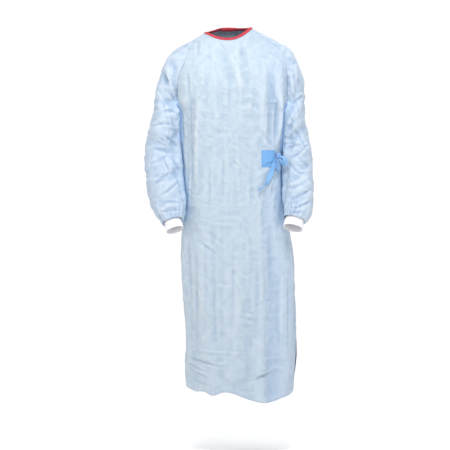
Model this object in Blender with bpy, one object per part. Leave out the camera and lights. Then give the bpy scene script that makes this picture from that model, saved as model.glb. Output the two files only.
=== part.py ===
"""A long surgical gown in light blue nonwoven cloth, hollow and in the pose of someone standing in it.

Metres, +Z up. The wearer faces -Y, so the wearer's left is +X. The origin is the middle of the neck at the
height of the shoulders. Every wall is worked out from the tables of sections and folds below: the yoke runs
from the neckline down to the armpits, and from there the body and each sleeve go on as tubes of their own.
"""

import math

import bpy
import numpy as np
from mathutils.bvhtree import BVHTree

# Driving sizes
CLOTH = 0.0015  # thickness of the cloth's wall
SEAM_GAP = 0.0003  # between two pieces at a seam
ARMPIT_Z = -0.266  # height where sleeves and body part
LAP_LIFT = 0.0055  # how far the wrap-over back lies outside the back under it
LAP_START = math.radians(24)  # past the under back's edge, where that lift starts
LAP_EASE = math.radians(20)  # and the turn over which it grows
MIDDLE_X = 0.02  # the body's middle at the waist
TAPE_WIDTH = 0.0110
TAPE_OVER = 0.0022  # how far the tape's fold stands past the cloth's edge
CUFF_WALL = 0.002
CUFF_LENGTH = 0.046
CUFF_INSET = 0.0008  # from the sleeve's gathered end in to the cuff
TAPE_THICK = 0.0007  # each leg of the folded tape
TAPE_CLEAR = 0.0004  # between the tape and the cloth's edge in it
TAPE_OPEN = 0.0013  # the same at the legs' free ends
PATCH = {"x": (0.118, 0.167), "z": (-0.434, -0.494), "thick": 0.0012, "rows": 6, "columns": 5}
TIE_WIDTH = 0.017
TIE_THICK = 0.0012
ON_CLOTH = 0.0012  # from the cloth's points to what lies on it, which clears the faces between them

# The yoke's own measures, in levels of its table
YOKE_LEVELS = 8
SLOPING_LEVELS = 4  # down to here the cloth slopes, so a lap is lifted up as well as out
DRAWN_FROM = 2.2  # from here down it is drawn in towards the outline at the armpits
LEVEL_RISE = 0.026  # height of one level just above the armpits

# Where sleeves part from the body: the sleeve's arc there, from its front parting to its back one
ARC = {"inset": 0.014, "start": -8, "sweep": 196, "power": 2.3}
# Below it the sleeve's outer side takes this part of its rings, in degrees, and the inner side the rest
SLEEVE_OUTER = {"start": -28, "sweep": 236}
PARTING_DEPTH = 0.10  # over this depth the sleeve's rings leave the armpits' outline
PARTING_POWER = 2.2
TILT_DEPTH = 0.12  # over this depth they turn square to the sleeve's own line

# How many faces each stretch is made of
YOKE_ROWS = 9
BODY_ROWS = 21
EVEN_ROWS = 0.55
GOWN_DROP = 1.30  # from the shoulders to the hem at the back
FRONT_COLUMNS = 16
SIDE_COLUMNS = 3
WRAP_COLUMNS = 16
UNDER_COLUMNS = 10
SLEEVE_OUT_COLUMNS = 15
SLEEVE_ROWS = 21
CUFF_COLUMNS = 24

# Yoke: rings from the neckline (level 0) to the armpits (level 8). Each ring is an oval whose height differs
# at its front, its back, the wearer's right side (x_right, z_right) and left side.
YOKE_COLUMNS = (
    "level", "x_right", "z_right", "x_left", "z_left", "y_front", "z_front", "y_back", "z_back", "power",
)
YOKE = (
    (0, -0.080, -0.009, 0.081, 0.008, -0.082, -0.050, 0.070, 0.012, 2.0),
    (1, -0.118, -0.032, 0.130, -0.018, -0.101, -0.078, 0.094, -0.014, 2.0),
    (2, -0.154, -0.052, 0.172, -0.040, -0.115, -0.106, 0.110, -0.046, 2.05),
    (3, -0.192, -0.080, 0.212, -0.062, -0.126, -0.134, 0.120, -0.082, 2.15),
    (4, -0.213, -0.106, 0.239, -0.092, -0.134, -0.162, 0.126, -0.120, 2.3),
    (5, -0.227, -0.142, 0.254, -0.128, -0.140, -0.190, 0.129, -0.158, 2.4),
    (6, -0.239, -0.182, 0.264, -0.170, -0.144, -0.216, 0.130, -0.196, 2.5),
    (7, -0.252, -0.224, 0.270, -0.218, -0.146, -0.242, 0.129, -0.232, 2.55),
    (8, -0.263, -0.266, 0.276, -0.266, -0.147, -0.266, 0.127, -0.266, 2.6),
)

# Where the raglan seams cross the yoke's rings, and where the two back edges do, as the angle round the ring.
SEAM_COLUMNS = ("level", "front_right", "front_left", "back_right", "back_left", "wrap_edge", "under_edge")
SEAMS = (
    (0, -0.072, 0.071, -0.060, 0.062, 158, 196),
    (1, -0.112, 0.116, -0.088, 0.092, 157, 197),
    (2, -0.133, 0.154, -0.110, 0.120, 156, 198),
    (3, -0.146, 0.188, -0.128, 0.146, 155, 199),
    (4, -0.156, 0.204, -0.144, 0.166, 154, 200),
    (5, -0.166, 0.210, -0.156, 0.180, 153, 201),
    (6, -0.174, 0.212, -0.165, 0.190, 152, 203),
    (7, -0.180, 0.213, -0.172, 0.198, 150, 204),
    (8, -0.184, 0.212, -0.178, 0.204, 148, 205),
)

# Body below the armpits, by height.
BODY_COLUMNS = ("drop", "x_right", "x_left", "y_front", "y_back", "power", "wrap_edge", "under_edge")
BODY = (
    (0.266, -0.188, 0.216, -0.147, 0.127, 2.9, 148, 205),
    (0.300, -0.177, 0.203, -0.148, 0.125, 2.8, 145, 206),
    (0.360, -0.166, 0.194, -0.147, 0.121, 2.7, 139, 208),
    (0.460, -0.155, 0.186, -0.144, 0.114, 2.6, 128, 211),
    (0.560, -0.144, 0.189, -0.146, 0.122, 2.5, 120, 213),
    (0.680, -0.148, 0.208, -0.150, 0.138, 2.5, 114, 214),
    (0.800, -0.165, 0.235, -0.152, 0.148, 2.5, 110, 215),
    (0.950, -0.160, 0.240, -0.152, 0.150, 2.5, 107, 215),
    (1.100, -0.151, 0.242, -0.150, 0.152, 2.5, 105, 215),
    (1.220, -0.153, 0.238, -0.150, 0.152, 2.5, 104, 215),
    (1.300, -0.146, 0.233, -0.148, 0.150, 2.5, 104, 215),
    (1.350, -0.142, 0.230, -0.146, 0.149, 2.5, 104, 215),
)

# The hem's height round the body: angle from the front, positive towards the wearer's left.
HEM_COLUMNS = ("angle", "drop")
HEM = (
    (-180, 1.300), (-130, 1.292), (-90, 1.282), (-60, 1.276), (-38, 1.284), (-22, 1.296), (-4, 1.287),
    (18, 1.306), (36, 1.325), (58, 1.318), (90, 1.303), (130, 1.297), (180, 1.300), (230, 1.292), (270, 1.282),
)

# Sleeves by height: outer and inner edge as seen from the front, the middle's y and half the depth.
SLEEVE_COLUMNS = ("drop", "x_out", "x_in", "y_mid", "half_depth")
SLEEVES = {
    "right": (
        (0.266, -0.263, -0.188, 0.003, 0.084),
        (0.320, -0.273, -0.184, 0.006, 0.083),
        (0.380, -0.287, -0.176, 0.007, 0.080),
        (0.440, -0.295, -0.168, 0.002, 0.075),
        (0.490, -0.291, -0.165, -0.012, 0.070),
        (0.540, -0.285, -0.161, -0.032, 0.066),
        (0.590, -0.276, -0.157, -0.055, 0.062),
        (0.630, -0.262, -0.152, -0.075, 0.056),
        (0.655, -0.252, -0.151, -0.088, 0.051),
        (0.672, -0.244, -0.153, -0.096, 0.047),
    ),
    "left": (
        (0.266, 0.276, 0.216, 0.003, 0.084),
        (0.320, 0.278, 0.211, 0.006, 0.083),
        (0.380, 0.290, 0.206, 0.007, 0.080),
        (0.440, 0.299, 0.202, 0.000, 0.076),
        (0.490, 0.299, 0.200, -0.018, 0.072),
        (0.540, 0.305, 0.203, -0.043, 0.068),
        (0.590, 0.304, 0.204, -0.072, 0.063),
        (0.630, 0.301, 0.199, -0.096, 0.058),
        (0.652, 0.297, 0.194, -0.110, 0.053),
        (0.668, 0.290, 0.195, -0.118, 0.048),
    ),
}

# The knit cuffs: middle of the top and of the bottom, and half the width and depth there.
CUFFS = {
    "right": {
        "top": (-0.2000, -0.103, -0.679), "end": (-0.1870, -0.121, -0.720),
        "half": (0.030, 0.028), "end_half": (0.0325, 0.030),
    },
    "left": {
        "top": (0.2370, -0.126, -0.672), "end": (0.2270, -0.146, -0.714),
        "half": (0.033, 0.030), "end_half": (0.0360, 0.032),
    },
}

# The sleeve's gathered end blouses over the cuff: distance along the cuff, and size against the cuff's own.
SLEEVE_END = ((0.0125, 1.22), (0.0110, 1.08), (0.0020, 1.0))

# Folds, each drawn on one side of the garment as a curve from a start through a bend to an end. across and z
# are where it runs as seen from that side (x for front and back, y for the sides); half is half its width, and
# rise is how far it stands out of the cloth, or sinks into it where negative.
FOLD_COLUMNS = ("side", "part", "a0", "z0", "a1", "z1", "a2", "z2", "half", "rise")
FOLDS = (
    ("front", "body", -0.036, -0.062, -0.012, -0.130, 0.022, -0.220, 0.030, -0.008),
    ("front", "body", 0.012, -0.076, 0.028, -0.140, 0.046, -0.240, 0.030, 0.006),
    ("front", "body", 0.056, -0.062, 0.054, -0.120, 0.072, -0.230, 0.028, -0.008),
    ("front", "body", -0.078, -0.060, -0.092, -0.130, -0.100, -0.200, 0.030, 0.005),
    ("front", "body", -0.128, -0.215, -0.138, -0.320, -0.140, -0.500, 0.028, -0.012),
    ("front", "body", -0.108, -0.240, -0.112, -0.380, -0.118, -0.560, 0.026, 0.004),
    ("front", "body", 0.184, -0.100, 0.184, -0.280, 0.174, -0.450, 0.024, 0.013),
    ("front", "body", 0.150, -0.130, 0.152, -0.280, 0.158, -0.440, 0.026, -0.010),
    ("front", "body", 0.120, -0.180, 0.122, -0.300, 0.130, -0.420, 0.028, 0.005),
    ("front", "body", -0.052, -0.640, -0.060, -0.900, -0.046, -1.180, 0.050, -0.008),
    ("front", "body", 0.030, -0.700, 0.026, -0.950, 0.020, -1.220, 0.055, 0.008),
    ("front", "body", 0.138, -0.640, 0.166, -0.960, 0.150, -1.290, 0.046, -0.018),
    ("front", "body", 0.214, -0.760, 0.212, -1.000, 0.206, -1.290, 0.036, 0.010),
    ("front", "body", -0.118, -0.600, -0.124, -0.900, -0.116, -1.250, 0.038, -0.006),
    ("front", "body", 0.100, -1.080, 0.106, -1.200, 0.112, -1.325, 0.048, 0.012),
    ("left", "body", -0.040, -0.480, -0.030, -0.860, -0.036, -1.290, 0.042, -0.012),
    ("left", "body", 0.052, -0.500, 0.060, -0.880, 0.056, -1.290, 0.042, 0.010),
    ("right", "body", -0.060, -0.480, -0.052, -0.860, -0.060, -1.270, 0.042, 0.010),
    ("right", "body", 0.030, -0.500, 0.024, -0.860, 0.030, -1.270, 0.044, -0.012),
    ("back", "body", -0.110, -0.360, -0.104, -0.860, -0.120, -1.290, 0.046, -0.014),
    ("back", "body", -0.030, -0.420, -0.034, -0.860, -0.040, -1.290, 0.050, 0.011),
    ("back", "body", 0.050, -0.380, 0.056, -0.860, 0.048, -1.290, 0.046, -0.014),
    ("back", "body", 0.128, -0.400, 0.140, -0.860, 0.134, -1.290, 0.044, 0.010),
    ("back", "body", -0.060, -0.060, -0.080, -0.160, -0.096, -0.280, 0.034, -0.008),
    ("back", "body", 0.060, -0.060, 0.084, -0.160, 0.104, -0.280, 0.034, -0.008),
    ("front", "right", -0.233, -0.140, -0.232, -0.235, -0.186, -0.310, 0.026, -0.012),
    ("front", "right", -0.198, -0.095, -0.200, -0.190, -0.182, -0.280, 0.022, -0.007),
    ("front", "right", -0.214, -0.100, -0.218, -0.190, -0.200, -0.270, 0.022, 0.006),
    ("front", "right", -0.288, -0.395, -0.240, -0.440, -0.172, -0.440, 0.026, -0.010),
    ("front", "right", -0.284, -0.340, -0.236, -0.385, -0.184, -0.390, 0.026, 0.006),
    ("front", "right", -0.280, -0.530, -0.220, -0.545, -0.166, -0.510, 0.026, -0.009),
    ("front", "right", -0.262, -0.620, -0.220, -0.628, -0.172, -0.590, 0.024, -0.007),
    ("front", "right", -0.284, -0.470, -0.230, -0.495, -0.168, -0.470, 0.026, 0.007),
    ("front", "left", 0.264, -0.150, 0.262, -0.235, 0.212, -0.320, 0.026, -0.011),
    ("front", "left", 0.240, -0.110, 0.238, -0.200, 0.210, -0.270, 0.024, 0.007),
    ("front", "left", 0.284, -0.330, 0.250, -0.385, 0.210, -0.420, 0.026, -0.010),
    ("front", "left", 0.296, -0.400, 0.262, -0.455, 0.212, -0.490, 0.026, 0.007),
    ("front", "left", 0.300, -0.460, 0.262, -0.525, 0.210, -0.545, 0.026, -0.010),
    ("front", "left", 0.300, -0.560, 0.260, -0.610, 0.212, -0.620, 0.024, -0.008),
    ("back", "right", -0.284, -0.380, -0.240, -0.420, -0.190, -0.400, 0.028, -0.010),
    ("back", "right", -0.276, -0.500, -0.230, -0.530, -0.180, -0.500, 0.028, -0.009),
    ("back", "right", -0.236, -0.140, -0.232, -0.240, -0.190, -0.310, 0.028, -0.010),
    ("back", "left", 0.292, -0.380, 0.256, -0.420, 0.214, -0.400, 0.028, -0.010),
    ("back", "left", 0.298, -0.500, 0.260, -0.540, 0.214, -0.510, 0.028, -0.009),
    ("back", "left", 0.262, -0.140, 0.258, -0.240, 0.214, -0.310, 0.028, -0.010),
)
# The ties, each as x, z and how far it lies outside the front panel. The loops are seen through, so their
# strips stand on edge to the cloth, and the tail turns from flat to edge-on.
KNOT = {"x": 0.1700, "z": -0.4570, "out": 0.0115, "half": (0.0085, 0.0090, 0.0115), "segments": 12, "rings": 8}
KNOT_CREASE = {"depth": 0.16, "half": 0.28, "slant": 0.5}
LOOP_SIDE = (
    (0.1884, -0.4530, 0.009), (0.1985, -0.4530, 0.013), (0.2070, -0.4590, 0.014), (0.2110, -0.4675, 0.014),
    (0.2070, -0.4750, 0.014), (0.1990, -0.4740, 0.013), (0.1868, -0.4645, 0.009),
)
LOOP_LOW = (
    (0.1765, -0.4692, 0.010), (0.1725, -0.4850, 0.013), (0.1705, -0.5000, 0.014), (0.1735, -0.5110, 0.014),
    (0.1800, -0.5125, 0.014), (0.1845, -0.5030, 0.014), (0.1850, -0.4870, 0.013), (0.1825, -0.4702, 0.010),
)
TAIL = (
    (0.1686, -0.4668, 0.0064), (0.1620, -0.4790, 0.0048), (0.1570, -0.4960, 0.0046), (0.1520, -0.5150, 0.0036),
    (0.1450, -0.5370, 0.0034), (0.1360, -0.5560, 0.0044), (0.1240, -0.5710, 0.0052), (0.1050, -0.5840, 0.0040),
)
BELT = {
    "z": -0.456, "start": 137, "end": 61.9, "count": 28, "half": 0.0085,
    "clear": 0.0011, "step": math.radians(14),
}
BELT_RISE = {"lift": 0.0047, "turn": math.radians(9)}  # at its end the belt rises off the cloth to the knot
TAIL_TWIST = 0.9  # how far the free end has turned edge-on at its tip, in radians
SIDES = {"front": (0, -1), "back": (0, 1), "left": (1, 0), "right": (-1, 0)}

PANELS = ("front", "back_right", "back_left", "sleeve_right", "sleeve_left")
CLOTH_COLOUR = (0.66, 0.79, 0.90)
FINISHES = {
    "cloth": (CLOTH_COLOUR, 0.75),
    "binding": ((0.72, 0.07, 0.12), 0.8),
    "knit": ((0.86, 0.85, 0.88), 0.9),
    "tie": ((0.22, 0.46, 0.84), 0.7),
}


def clear_scene():
    for old in list(bpy.data.objects):
        bpy.data.objects.remove(old, do_unlink=True)


def finish_of(name):
    """The material of that name, made when it is first asked for."""
    found = bpy.data.materials.get(name)
    if found:
        return found
    colour, roughness = FINISHES[name]
    made = bpy.data.materials.new(name)
    made.use_nodes = True
    shader = made.node_tree.nodes["Principled BSDF"]
    shader.inputs["Base Color"].default_value = (*colour, 1)
    shader.inputs["Roughness"].default_value = roughness
    shader.inputs["Metallic"].default_value = 0
    return made


def ease(x):
    """0 below 0 and 1 above 1, with a soft start and end."""
    x = np.clip(x, 0, 1)
    return x * x * (3 - 2 * x)


def read(table, columns, at):
    """Every column of a table at the values of its first column, on a smooth curve through the rows."""
    rows = np.array(table, float)
    key, value = rows[:, 0], rows[:, 1:]
    at = np.clip(np.asarray(at, float), key[0], key[-1])
    slope = np.gradient(value, key, axis=0)
    i = np.clip(np.searchsorted(key, at, side="right") - 1, 0, len(key) - 2)
    span = (key[i + 1] - key[i])[..., None]
    f = (at - key[i])[..., None] / span
    start, end = value[i], value[i + 1]
    curve = (
        start * (1 + 2 * f) * (1 - f) ** 2
        + end * f * f * (3 - 2 * f)
        + slope[i] * span * f * (1 - f) ** 2
        - slope[i + 1] * span * f * f * (1 - f)
    )
    return {name: curve[..., k] for k, name in enumerate(columns[1:])}


def oval(x_low, x_high, y_front, y_back, power, angle, lift=0.0):
    """x and y on a rounded oval. Angle 0 is its front and a quarter turn the wearer's left."""
    s, c = np.sin(angle), np.cos(angle)
    reach = (np.abs(s) ** power + np.abs(c) ** power) ** (-1 / power)
    x = (x_low + x_high) / 2 + ((x_high - x_low) / 2 + lift) * s * reach
    y = (y_front + y_back) / 2 - ((y_back - y_front) / 2 + lift) * c * reach
    return x, y


def angle_at(x, x_low, x_high, power):
    """The angle from the oval's front, or from its back, where it has this x."""
    share = (x - (x_low + x_high) / 2) / ((x_high - x_low) / 2)
    part = np.clip(np.abs(share), 0, 0.999) ** power
    return np.sign(share) * np.arctan((part / (1 - part)) ** (1 / power))


def yoke_point(level, angle, lift=0.0):
    """A point of the yoke on its ring at that level, before it is drawn in at the armpits."""
    ring = read(YOKE, YOKE_COLUMNS, level)
    x, y = oval(ring["x_right"], ring["x_left"], ring["y_front"], ring["y_back"], ring["power"], angle, lift)
    s, c = np.sin(angle), np.cos(angle)
    side = np.where(s > 0, ring["z_left"], ring["z_right"])
    end = np.where(c > 0, ring["z_front"], ring["z_back"])
    up = lift * (1 - ease(level / SLOPING_LEVELS))
    return np.stack([x, y, side * s * s + end * c * c + up], -1)


def body_point(drop, angle, lift=0.0):
    """A point of the body's tube, at that distance below the shoulders."""
    ring = read(BODY, BODY_COLUMNS, drop)
    x, y = oval(ring["x_right"], ring["x_left"], ring["y_front"], ring["y_back"], ring["power"], angle, lift)
    return np.stack([x, y, -drop + 0 * x], -1)


def seam_angles(level):
    """The angles where the raglan seams and the two back edges cross the yoke's ring at that level."""
    ring = read(YOKE, YOKE_COLUMNS, level)
    seam = read(SEAMS, SEAM_COLUMNS, level)
    found = {}
    for name in ("front_right", "front_left", "back_right", "back_left"):
        turn = angle_at(seam[name], ring["x_right"], ring["x_left"], ring["power"])
        found[name] = turn if name.startswith("front") else math.pi - turn
    for name in ("wrap_edge", "under_edge"):
        found[name] = np.radians(seam[name])
    return found


def parting_angles():
    """The angles on the body's top ring where body and sleeve part."""
    ring = dict(zip(BODY_COLUMNS, BODY[0], strict=True))
    seam = dict(zip(SEAM_COLUMNS, SEAMS[-1], strict=True))
    found = {}
    for name in ("front_right", "front_left", "back_right", "back_left"):
        turn = float(angle_at(seam[name], ring["x_right"], ring["x_left"], ring["power"]))
        found[name] = turn if name.startswith("front") else math.pi - turn
    return found


def lap_lift(angle, under_edge):
    """The wrap-over back's lift: full where the other back is under it."""
    return LAP_LIFT * ease((under_edge + LAP_START - angle) / LAP_EASE)


def drawn_in(level):
    """How far the yoke has been drawn in to the outline that body and sleeves have at the armpits."""
    return ease((level - DRAWN_FROM) / (YOKE_LEVELS - DRAWN_FROM))[..., None]


def raised(points, level):
    """The armpits' outline carried up to a level above it, for the yoke to run into."""
    above = (YOKE_LEVELS - level) * LEVEL_RISE
    return points + np.array([0, 0, 1]) * above[..., None]


def between(start, end, count):
    """Column values from start to end, for each row where those are arrays."""
    share = np.linspace(0, 1, count + 1)
    start, end = np.asarray(start, float)[..., None], np.asarray(end, float)[..., None]
    return start + (end - start) * share


def sleeve_arc(side, share):
    """The sleeve's outer arc at the armpits, from the front parting to the back one."""
    row = dict(zip(SLEEVE_COLUMNS, SLEEVES[side][0], strict=True))
    sign = 1 if side == "left" else -1
    parting = parting_angles()
    front = body_point(np.array(-ARMPIT_Z), np.array(parting["front_" + side]))
    back = body_point(np.array(-ARMPIT_Z), np.array(parting["back_" + side]))
    middle = sign * (0.5 * (abs(front[0]) + abs(back[0])) + ARC["inset"])
    turn = np.radians(ARC["start"] + ARC["sweep"] * share)
    x, y = oval(-1, 1, -1, 1, ARC["power"], turn)
    arc = np.stack(
        [middle + (row["x_out"] - middle) * x, row["y_mid"] + row["half_depth"] * y, ARMPIT_Z + 0 * x], -1
    )
    near_front, near_back = ((1 - share) ** 4)[..., None], (share**4)[..., None]
    return arc + (front - arc[0]) * near_front + (back - arc[-1]) * near_back


def yoke_blocks():
    """The yoke's grids: front, both sleeves and both backs, each with its rows from the neckline down."""
    level = np.linspace(0, YOKE_LEVELS, YOKE_ROWS + 1)
    seams, parting = seam_angles(level), parting_angles()
    pull, rows = drawn_in(level)[:, None], level[:, None]
    top = np.array(-ARMPIT_Z)

    def grid(name, start, end, last_start, last_end, count, lap=False):
        angle, last = between(seams[start], seams[end], count), between(last_start, last_end, count)
        edge = seams["under_edge"][:, None]
        lift = lap_lift(angle, edge) if lap else 0.0
        last_lift = lap_lift(last, under) if lap else 0.0
        wide = yoke_point(rows + 0 * angle, angle, lift)
        upright = raised(body_point(top + 0 * last, last, last_lift), rows + 0 * angle)
        return name, wide * (1 - pull) + upright * pull

    under, wrap = (math.radians(turn) for turn in SEAMS[-1][:-3:-1])
    made = [
        grid("front", "front_right", "front_left", parting["front_right"], parting["front_left"], FRONT_COLUMNS),
        grid("back_left", "back_left", "under_edge", parting["back_left"], under, UNDER_COLUMNS),
        grid("back_right", "back_right", "wrap_edge", parting["back_right"], wrap, WRAP_COLUMNS, True),
    ]
    share = np.linspace(0, 1, SLEEVE_OUT_COLUMNS + 1)
    for side in ("right", "left"):
        front, back = seams["front_" + side], seams["back_" + side]
        back = back - 2 * math.pi if side == "right" else back
        angle = between(front, back, SLEEVE_OUT_COLUMNS)
        wide = yoke_point(rows + 0 * angle, angle)
        upright = raised(sleeve_arc(side, share), rows + 0 * angle)
        made.append(("sleeve_" + side, wide * (1 - pull) + upright * pull))
    return made


def body_blocks():
    """The body's grids below the armpits, in strips between the partings, the side seams and the back edges."""
    parting = parting_angles()
    quarter = math.pi / 2
    share = np.linspace(0, 1, BODY_ROWS + 1)
    spread = (EVEN_ROWS * share + (1 - EVEN_ROWS) * share**1.6)[:, None]  # closer rows near the armpits

    def grid(name, start, end, count, lap=False):
        angle = between(start + 0 * share, end + 0 * share, count)
        hem = read(HEM, HEM_COLUMNS, np.degrees(angle))["drop"]
        drop = -ARMPIT_Z + (hem + ARMPIT_Z) * spread
        lift = lap_lift(angle, np.radians(read(BODY, BODY_COLUMNS, drop)["under_edge"])) if lap else 0.0
        return name, body_point(drop, angle, lift)

    nominal = -ARMPIT_Z + (GOWN_DROP + ARMPIT_Z) * spread[:, 0]
    edges = read(BODY, BODY_COLUMNS, nominal)
    wrap, under = np.radians(edges["wrap_edge"]), np.radians(edges["under_edge"])
    return [
        grid("front", -quarter, parting["front_right"], SIDE_COLUMNS),
        grid("front", parting["front_right"], parting["front_left"], FRONT_COLUMNS),
        grid("front", parting["front_left"], quarter, SIDE_COLUMNS),
        grid("back_left", quarter, parting["back_left"], SIDE_COLUMNS),
        grid("back_left", parting["back_left"], under, UNDER_COLUMNS),
        grid("back_right", 3 * quarter, parting["back_right"], SIDE_COLUMNS, True),
        grid("back_right", parting["back_right"], wrap, WRAP_COLUMNS, True),
    ]


def unit(v):
    return v / np.maximum(np.linalg.norm(v, axis=-1, keepdims=True), 1e-12)


def ring_round(centre, along, half_out, half_deep, outward, turn, power=2.2):
    """Points round a sleeve. A turn of 0 is its front and a quarter turn its outer side."""
    across = unit(outward - along * (along @ outward))
    deep = np.cross(across, along)
    deep = deep * (1 if deep[1] < 0 else -1)
    x, y = oval(-1, 1, -1, 1, power, turn)
    return centre + np.outer(x * half_out, across) - np.outer(y * half_deep, deep)


def sleeve_rings(side):
    """The sleeve's tube from the armpit to the cuff, one ring after another."""
    sign = 1 if side == "left" else -1
    outward = np.array([sign, 0.0, 0.0])
    cuff = CUFFS[side]
    share = np.linspace(0, 1, SLEEVE_OUT_COLUMNS + 1)
    parting = parting_angles()
    back, front = parting["back_" + side], parting["front_" + side]
    back = back - 2 * math.pi if side == "right" else back
    middle = math.copysign(math.pi / 2, sign)
    to_front = between(middle, front, SIDE_COLUMNS)[1:-1]
    inner = np.concatenate([between(back, middle, SIDE_COLUMNS)[1:], to_front])
    top = np.concatenate([sleeve_arc(side, share), body_point(-ARMPIT_Z + 0 * inner, inner)])
    turned = SLEEVE_OUTER["start"] + SLEEVE_OUTER["sweep"]
    turn_out = np.radians(SLEEVE_OUTER["start"] + SLEEVE_OUTER["sweep"] * share)
    turn_in = np.radians(between(turned, 360 + SLEEVE_OUTER["start"], 2 * SIDE_COLUMNS)[1:-1])
    turn = np.concatenate([turn_out, turn_in])
    last = SLEEVES[side][-1][0]
    drops = np.linspace(-ARMPIT_Z, last, SLEEVE_ROWS + 1)
    rows = read(SLEEVES[side], SLEEVE_COLUMNS, drops)
    centres = np.stack([(rows["x_out"] + rows["x_in"]) / 2, rows["y_mid"], -drops], -1)
    slopes = unit(np.gradient(centres, axis=0))
    cuff_way = unit(np.array(cuff["end"]) - np.array(cuff["top"]))
    rings = [top]
    for k in range(1, SLEEVE_ROWS + 1):
        depth = drops[k] + ARMPIT_Z
        tilt = ease(depth / TILT_DEPTH)
        along = unit(np.array([0, 0, -1]) * (1 - tilt) + slopes[k] * tilt)
        near_cuff = ease((drops[k] - last) / PARTING_DEPTH + 1)
        along = unit(along * (1 - near_cuff) + cuff_way * near_cuff)
        half_out = abs(rows["x_out"][k] - rows["x_in"][k]) / 2
        tube = ring_round(centres[k], along, half_out, rows["half_depth"][k], outward, turn)
        away = 1 - (1 - min(1.0, depth / PARTING_DEPTH)) ** PARTING_POWER
        rings.append((top - [0, 0, depth]) * (1 - away) + tube * away)
    for reach, size in SLEEVE_END:
        centre = np.array(cuff["top"]) + cuff_way * reach
        half_out, half_deep = (h * size for h in cuff["half"])
        rings.append(ring_round(centre, cuff_way, half_out, half_deep, outward, turn))
    return np.array(rings)


def sleeve_blocks():
    made = []
    for side in ("right", "left"):
        rings = sleeve_rings(side)
        made.append(("sleeve_" + side, np.concatenate([rings, rings[:, :1]], axis=1)))
    return made


def welded(blocks):
    """All grids as one mesh: points, quads, each quad's panel, and the first two rows of the yoke's grids."""
    points, quads, owners, tops = [], [], [], {}
    start = 0
    for name, grid in blocks:
        rows, columns = grid.shape[:2]
        index = start + np.arange(rows * columns).reshape(rows, columns)
        tops.setdefault(name, index[:2])
        corners = [index[:-1, :-1], index[1:, :-1], index[1:, 1:], index[:-1, 1:]]
        quads.append(np.stack([c.reshape(-1) for c in corners], -1))
        owners += [name] * len(quads[-1])
        points.append(grid.reshape(-1, 3))
        start += rows * columns
    points, quads = np.concatenate(points), np.concatenate(quads)
    _, first, index = np.unique(np.round(points, 6), axis=0, return_index=True, return_inverse=True)
    index = index.reshape(-1)
    return points[first], index[quads], np.array(owners), {name: index[rows] for name, rows in tops.items()}


def face_normals(points, quads):
    a, b, c, d = (points[quads[:, k]] for k in range(4))
    return np.cross(c - a, d - b)


def point_normals(points, quads):
    total = np.zeros_like(points)
    flat = face_normals(points, quads)
    for k in range(4):
        np.add.at(total, quads[:, k], flat)
    return unit(total)


def facing_out(points, quads, owners):
    """The quads with their order turned where a panel's own grid runs the other way round."""
    quads = quads.copy()
    for name in PANELS:
        mine = owners == name
        flat = face_normals(points, quads[mine])
        middle = points[quads[mine]].mean(axis=1)
        if name.startswith("sleeve"):
            axis = sleeve_axis(name.removeprefix("sleeve_"), middle[:, 2])
            hub = np.where(middle[:, 2:] < ARMPIT_Z, axis, [0, 0, ARMPIT_Z])
        else:
            hub = middle * [0, 0, 1] + [MIDDLE_X, 0, 0]
            hub[:, 2] = np.minimum(hub[:, 2], ARMPIT_Z)
        if (flat * (middle - hub)).sum() < 0:
            quads[mine] = quads[mine][:, ::-1]
    return quads


def sleeve_axis(side, z):
    rows = read(SLEEVES[side], SLEEVE_COLUMNS, -z)
    return np.stack([(rows["x_out"] + rows["x_in"]) / 2, rows["y_mid"], z], -1)


def curve_through(row):
    """The points of a fold's curve: start, bend and end as a smooth bow."""
    t = np.linspace(0, 1, 15)[:, None]
    a, b, c = (np.array([row["a" + k], row["z" + k]]) for k in "012")
    return a * (1 - t) ** 2 + b * 2 * t * (1 - t) + c * t * t


def nearness(spots, line):
    """How far each spot is from the line, and how far along it the nearest place is, from 0 to 1."""
    best, along = np.full(len(spots), np.inf), np.zeros(len(spots))
    steps = len(line) - 1
    for k in range(steps):
        a, way = line[k], line[k + 1] - line[k]
        f = np.clip((spots - a) @ way / (way @ way), 0, 1)
        far = np.linalg.norm(spots - a - f[:, None] * way, axis=1)
        nearer = far < best
        best[nearer], along[nearer] = far[nearer], (k + f[nearer]) / steps
    return best, along


def folded(points, normals, parts):
    """The points moved along their normals by every fold of the part that they belong to."""
    move = np.zeros(len(points))
    for values in FOLDS:
        row = dict(zip(FOLD_COLUMNS, values, strict=True))
        way = np.array(SIDES[row["side"]], float)
        spots = points[:, [0, 2]] if way[0] == 0 else points[:, [1, 2]]
        far, along = nearness(spots, curve_through(row))
        shape = np.where(far < row["half"], 0.5 + 0.5 * np.cos(math.pi * far / row["half"]), 0)
        ends = ease(along / 0.25) * ease((1 - along) / 0.2 + (row["z2"] < -1.2))
        faces = ease((normals[:, :2] @ way - 0.05) / 0.4)
        move += row["rise"] * shape * ends * faces * parts[row["part"]]
    return points + normals * move[:, None]


def part_shares(points, quads, owners):
    """For each part named by a fold, 1 on its own points and 0 elsewhere."""
    shares = {}
    for part, names in (
        ("body", ("front", "back_right", "back_left")),
        ("right", ("sleeve_right",)),
        ("left", ("sleeve_left",)),
    ):
        mine = np.isin(owners, names)
        share = np.zeros(len(points))
        share[np.unique(quads[mine])] = 1
        shares[part] = share
    seams = (shares["body"] > 0) & (shares["right"] + shares["left"] > 0)
    for part in shares:
        shares[part][seams] *= 0.5
    return shares


def edges_of(quads):
    """The edges that only one quad uses, each in the order in which its quad runs."""
    ends = np.concatenate([quads[:, [k, (k + 1) % 4]] for k in range(4)])
    _, index, count = np.unique(np.sort(ends, axis=1), axis=0, return_inverse=True, return_counts=True)
    return ends[count[index.reshape(-1)] == 1]


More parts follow.
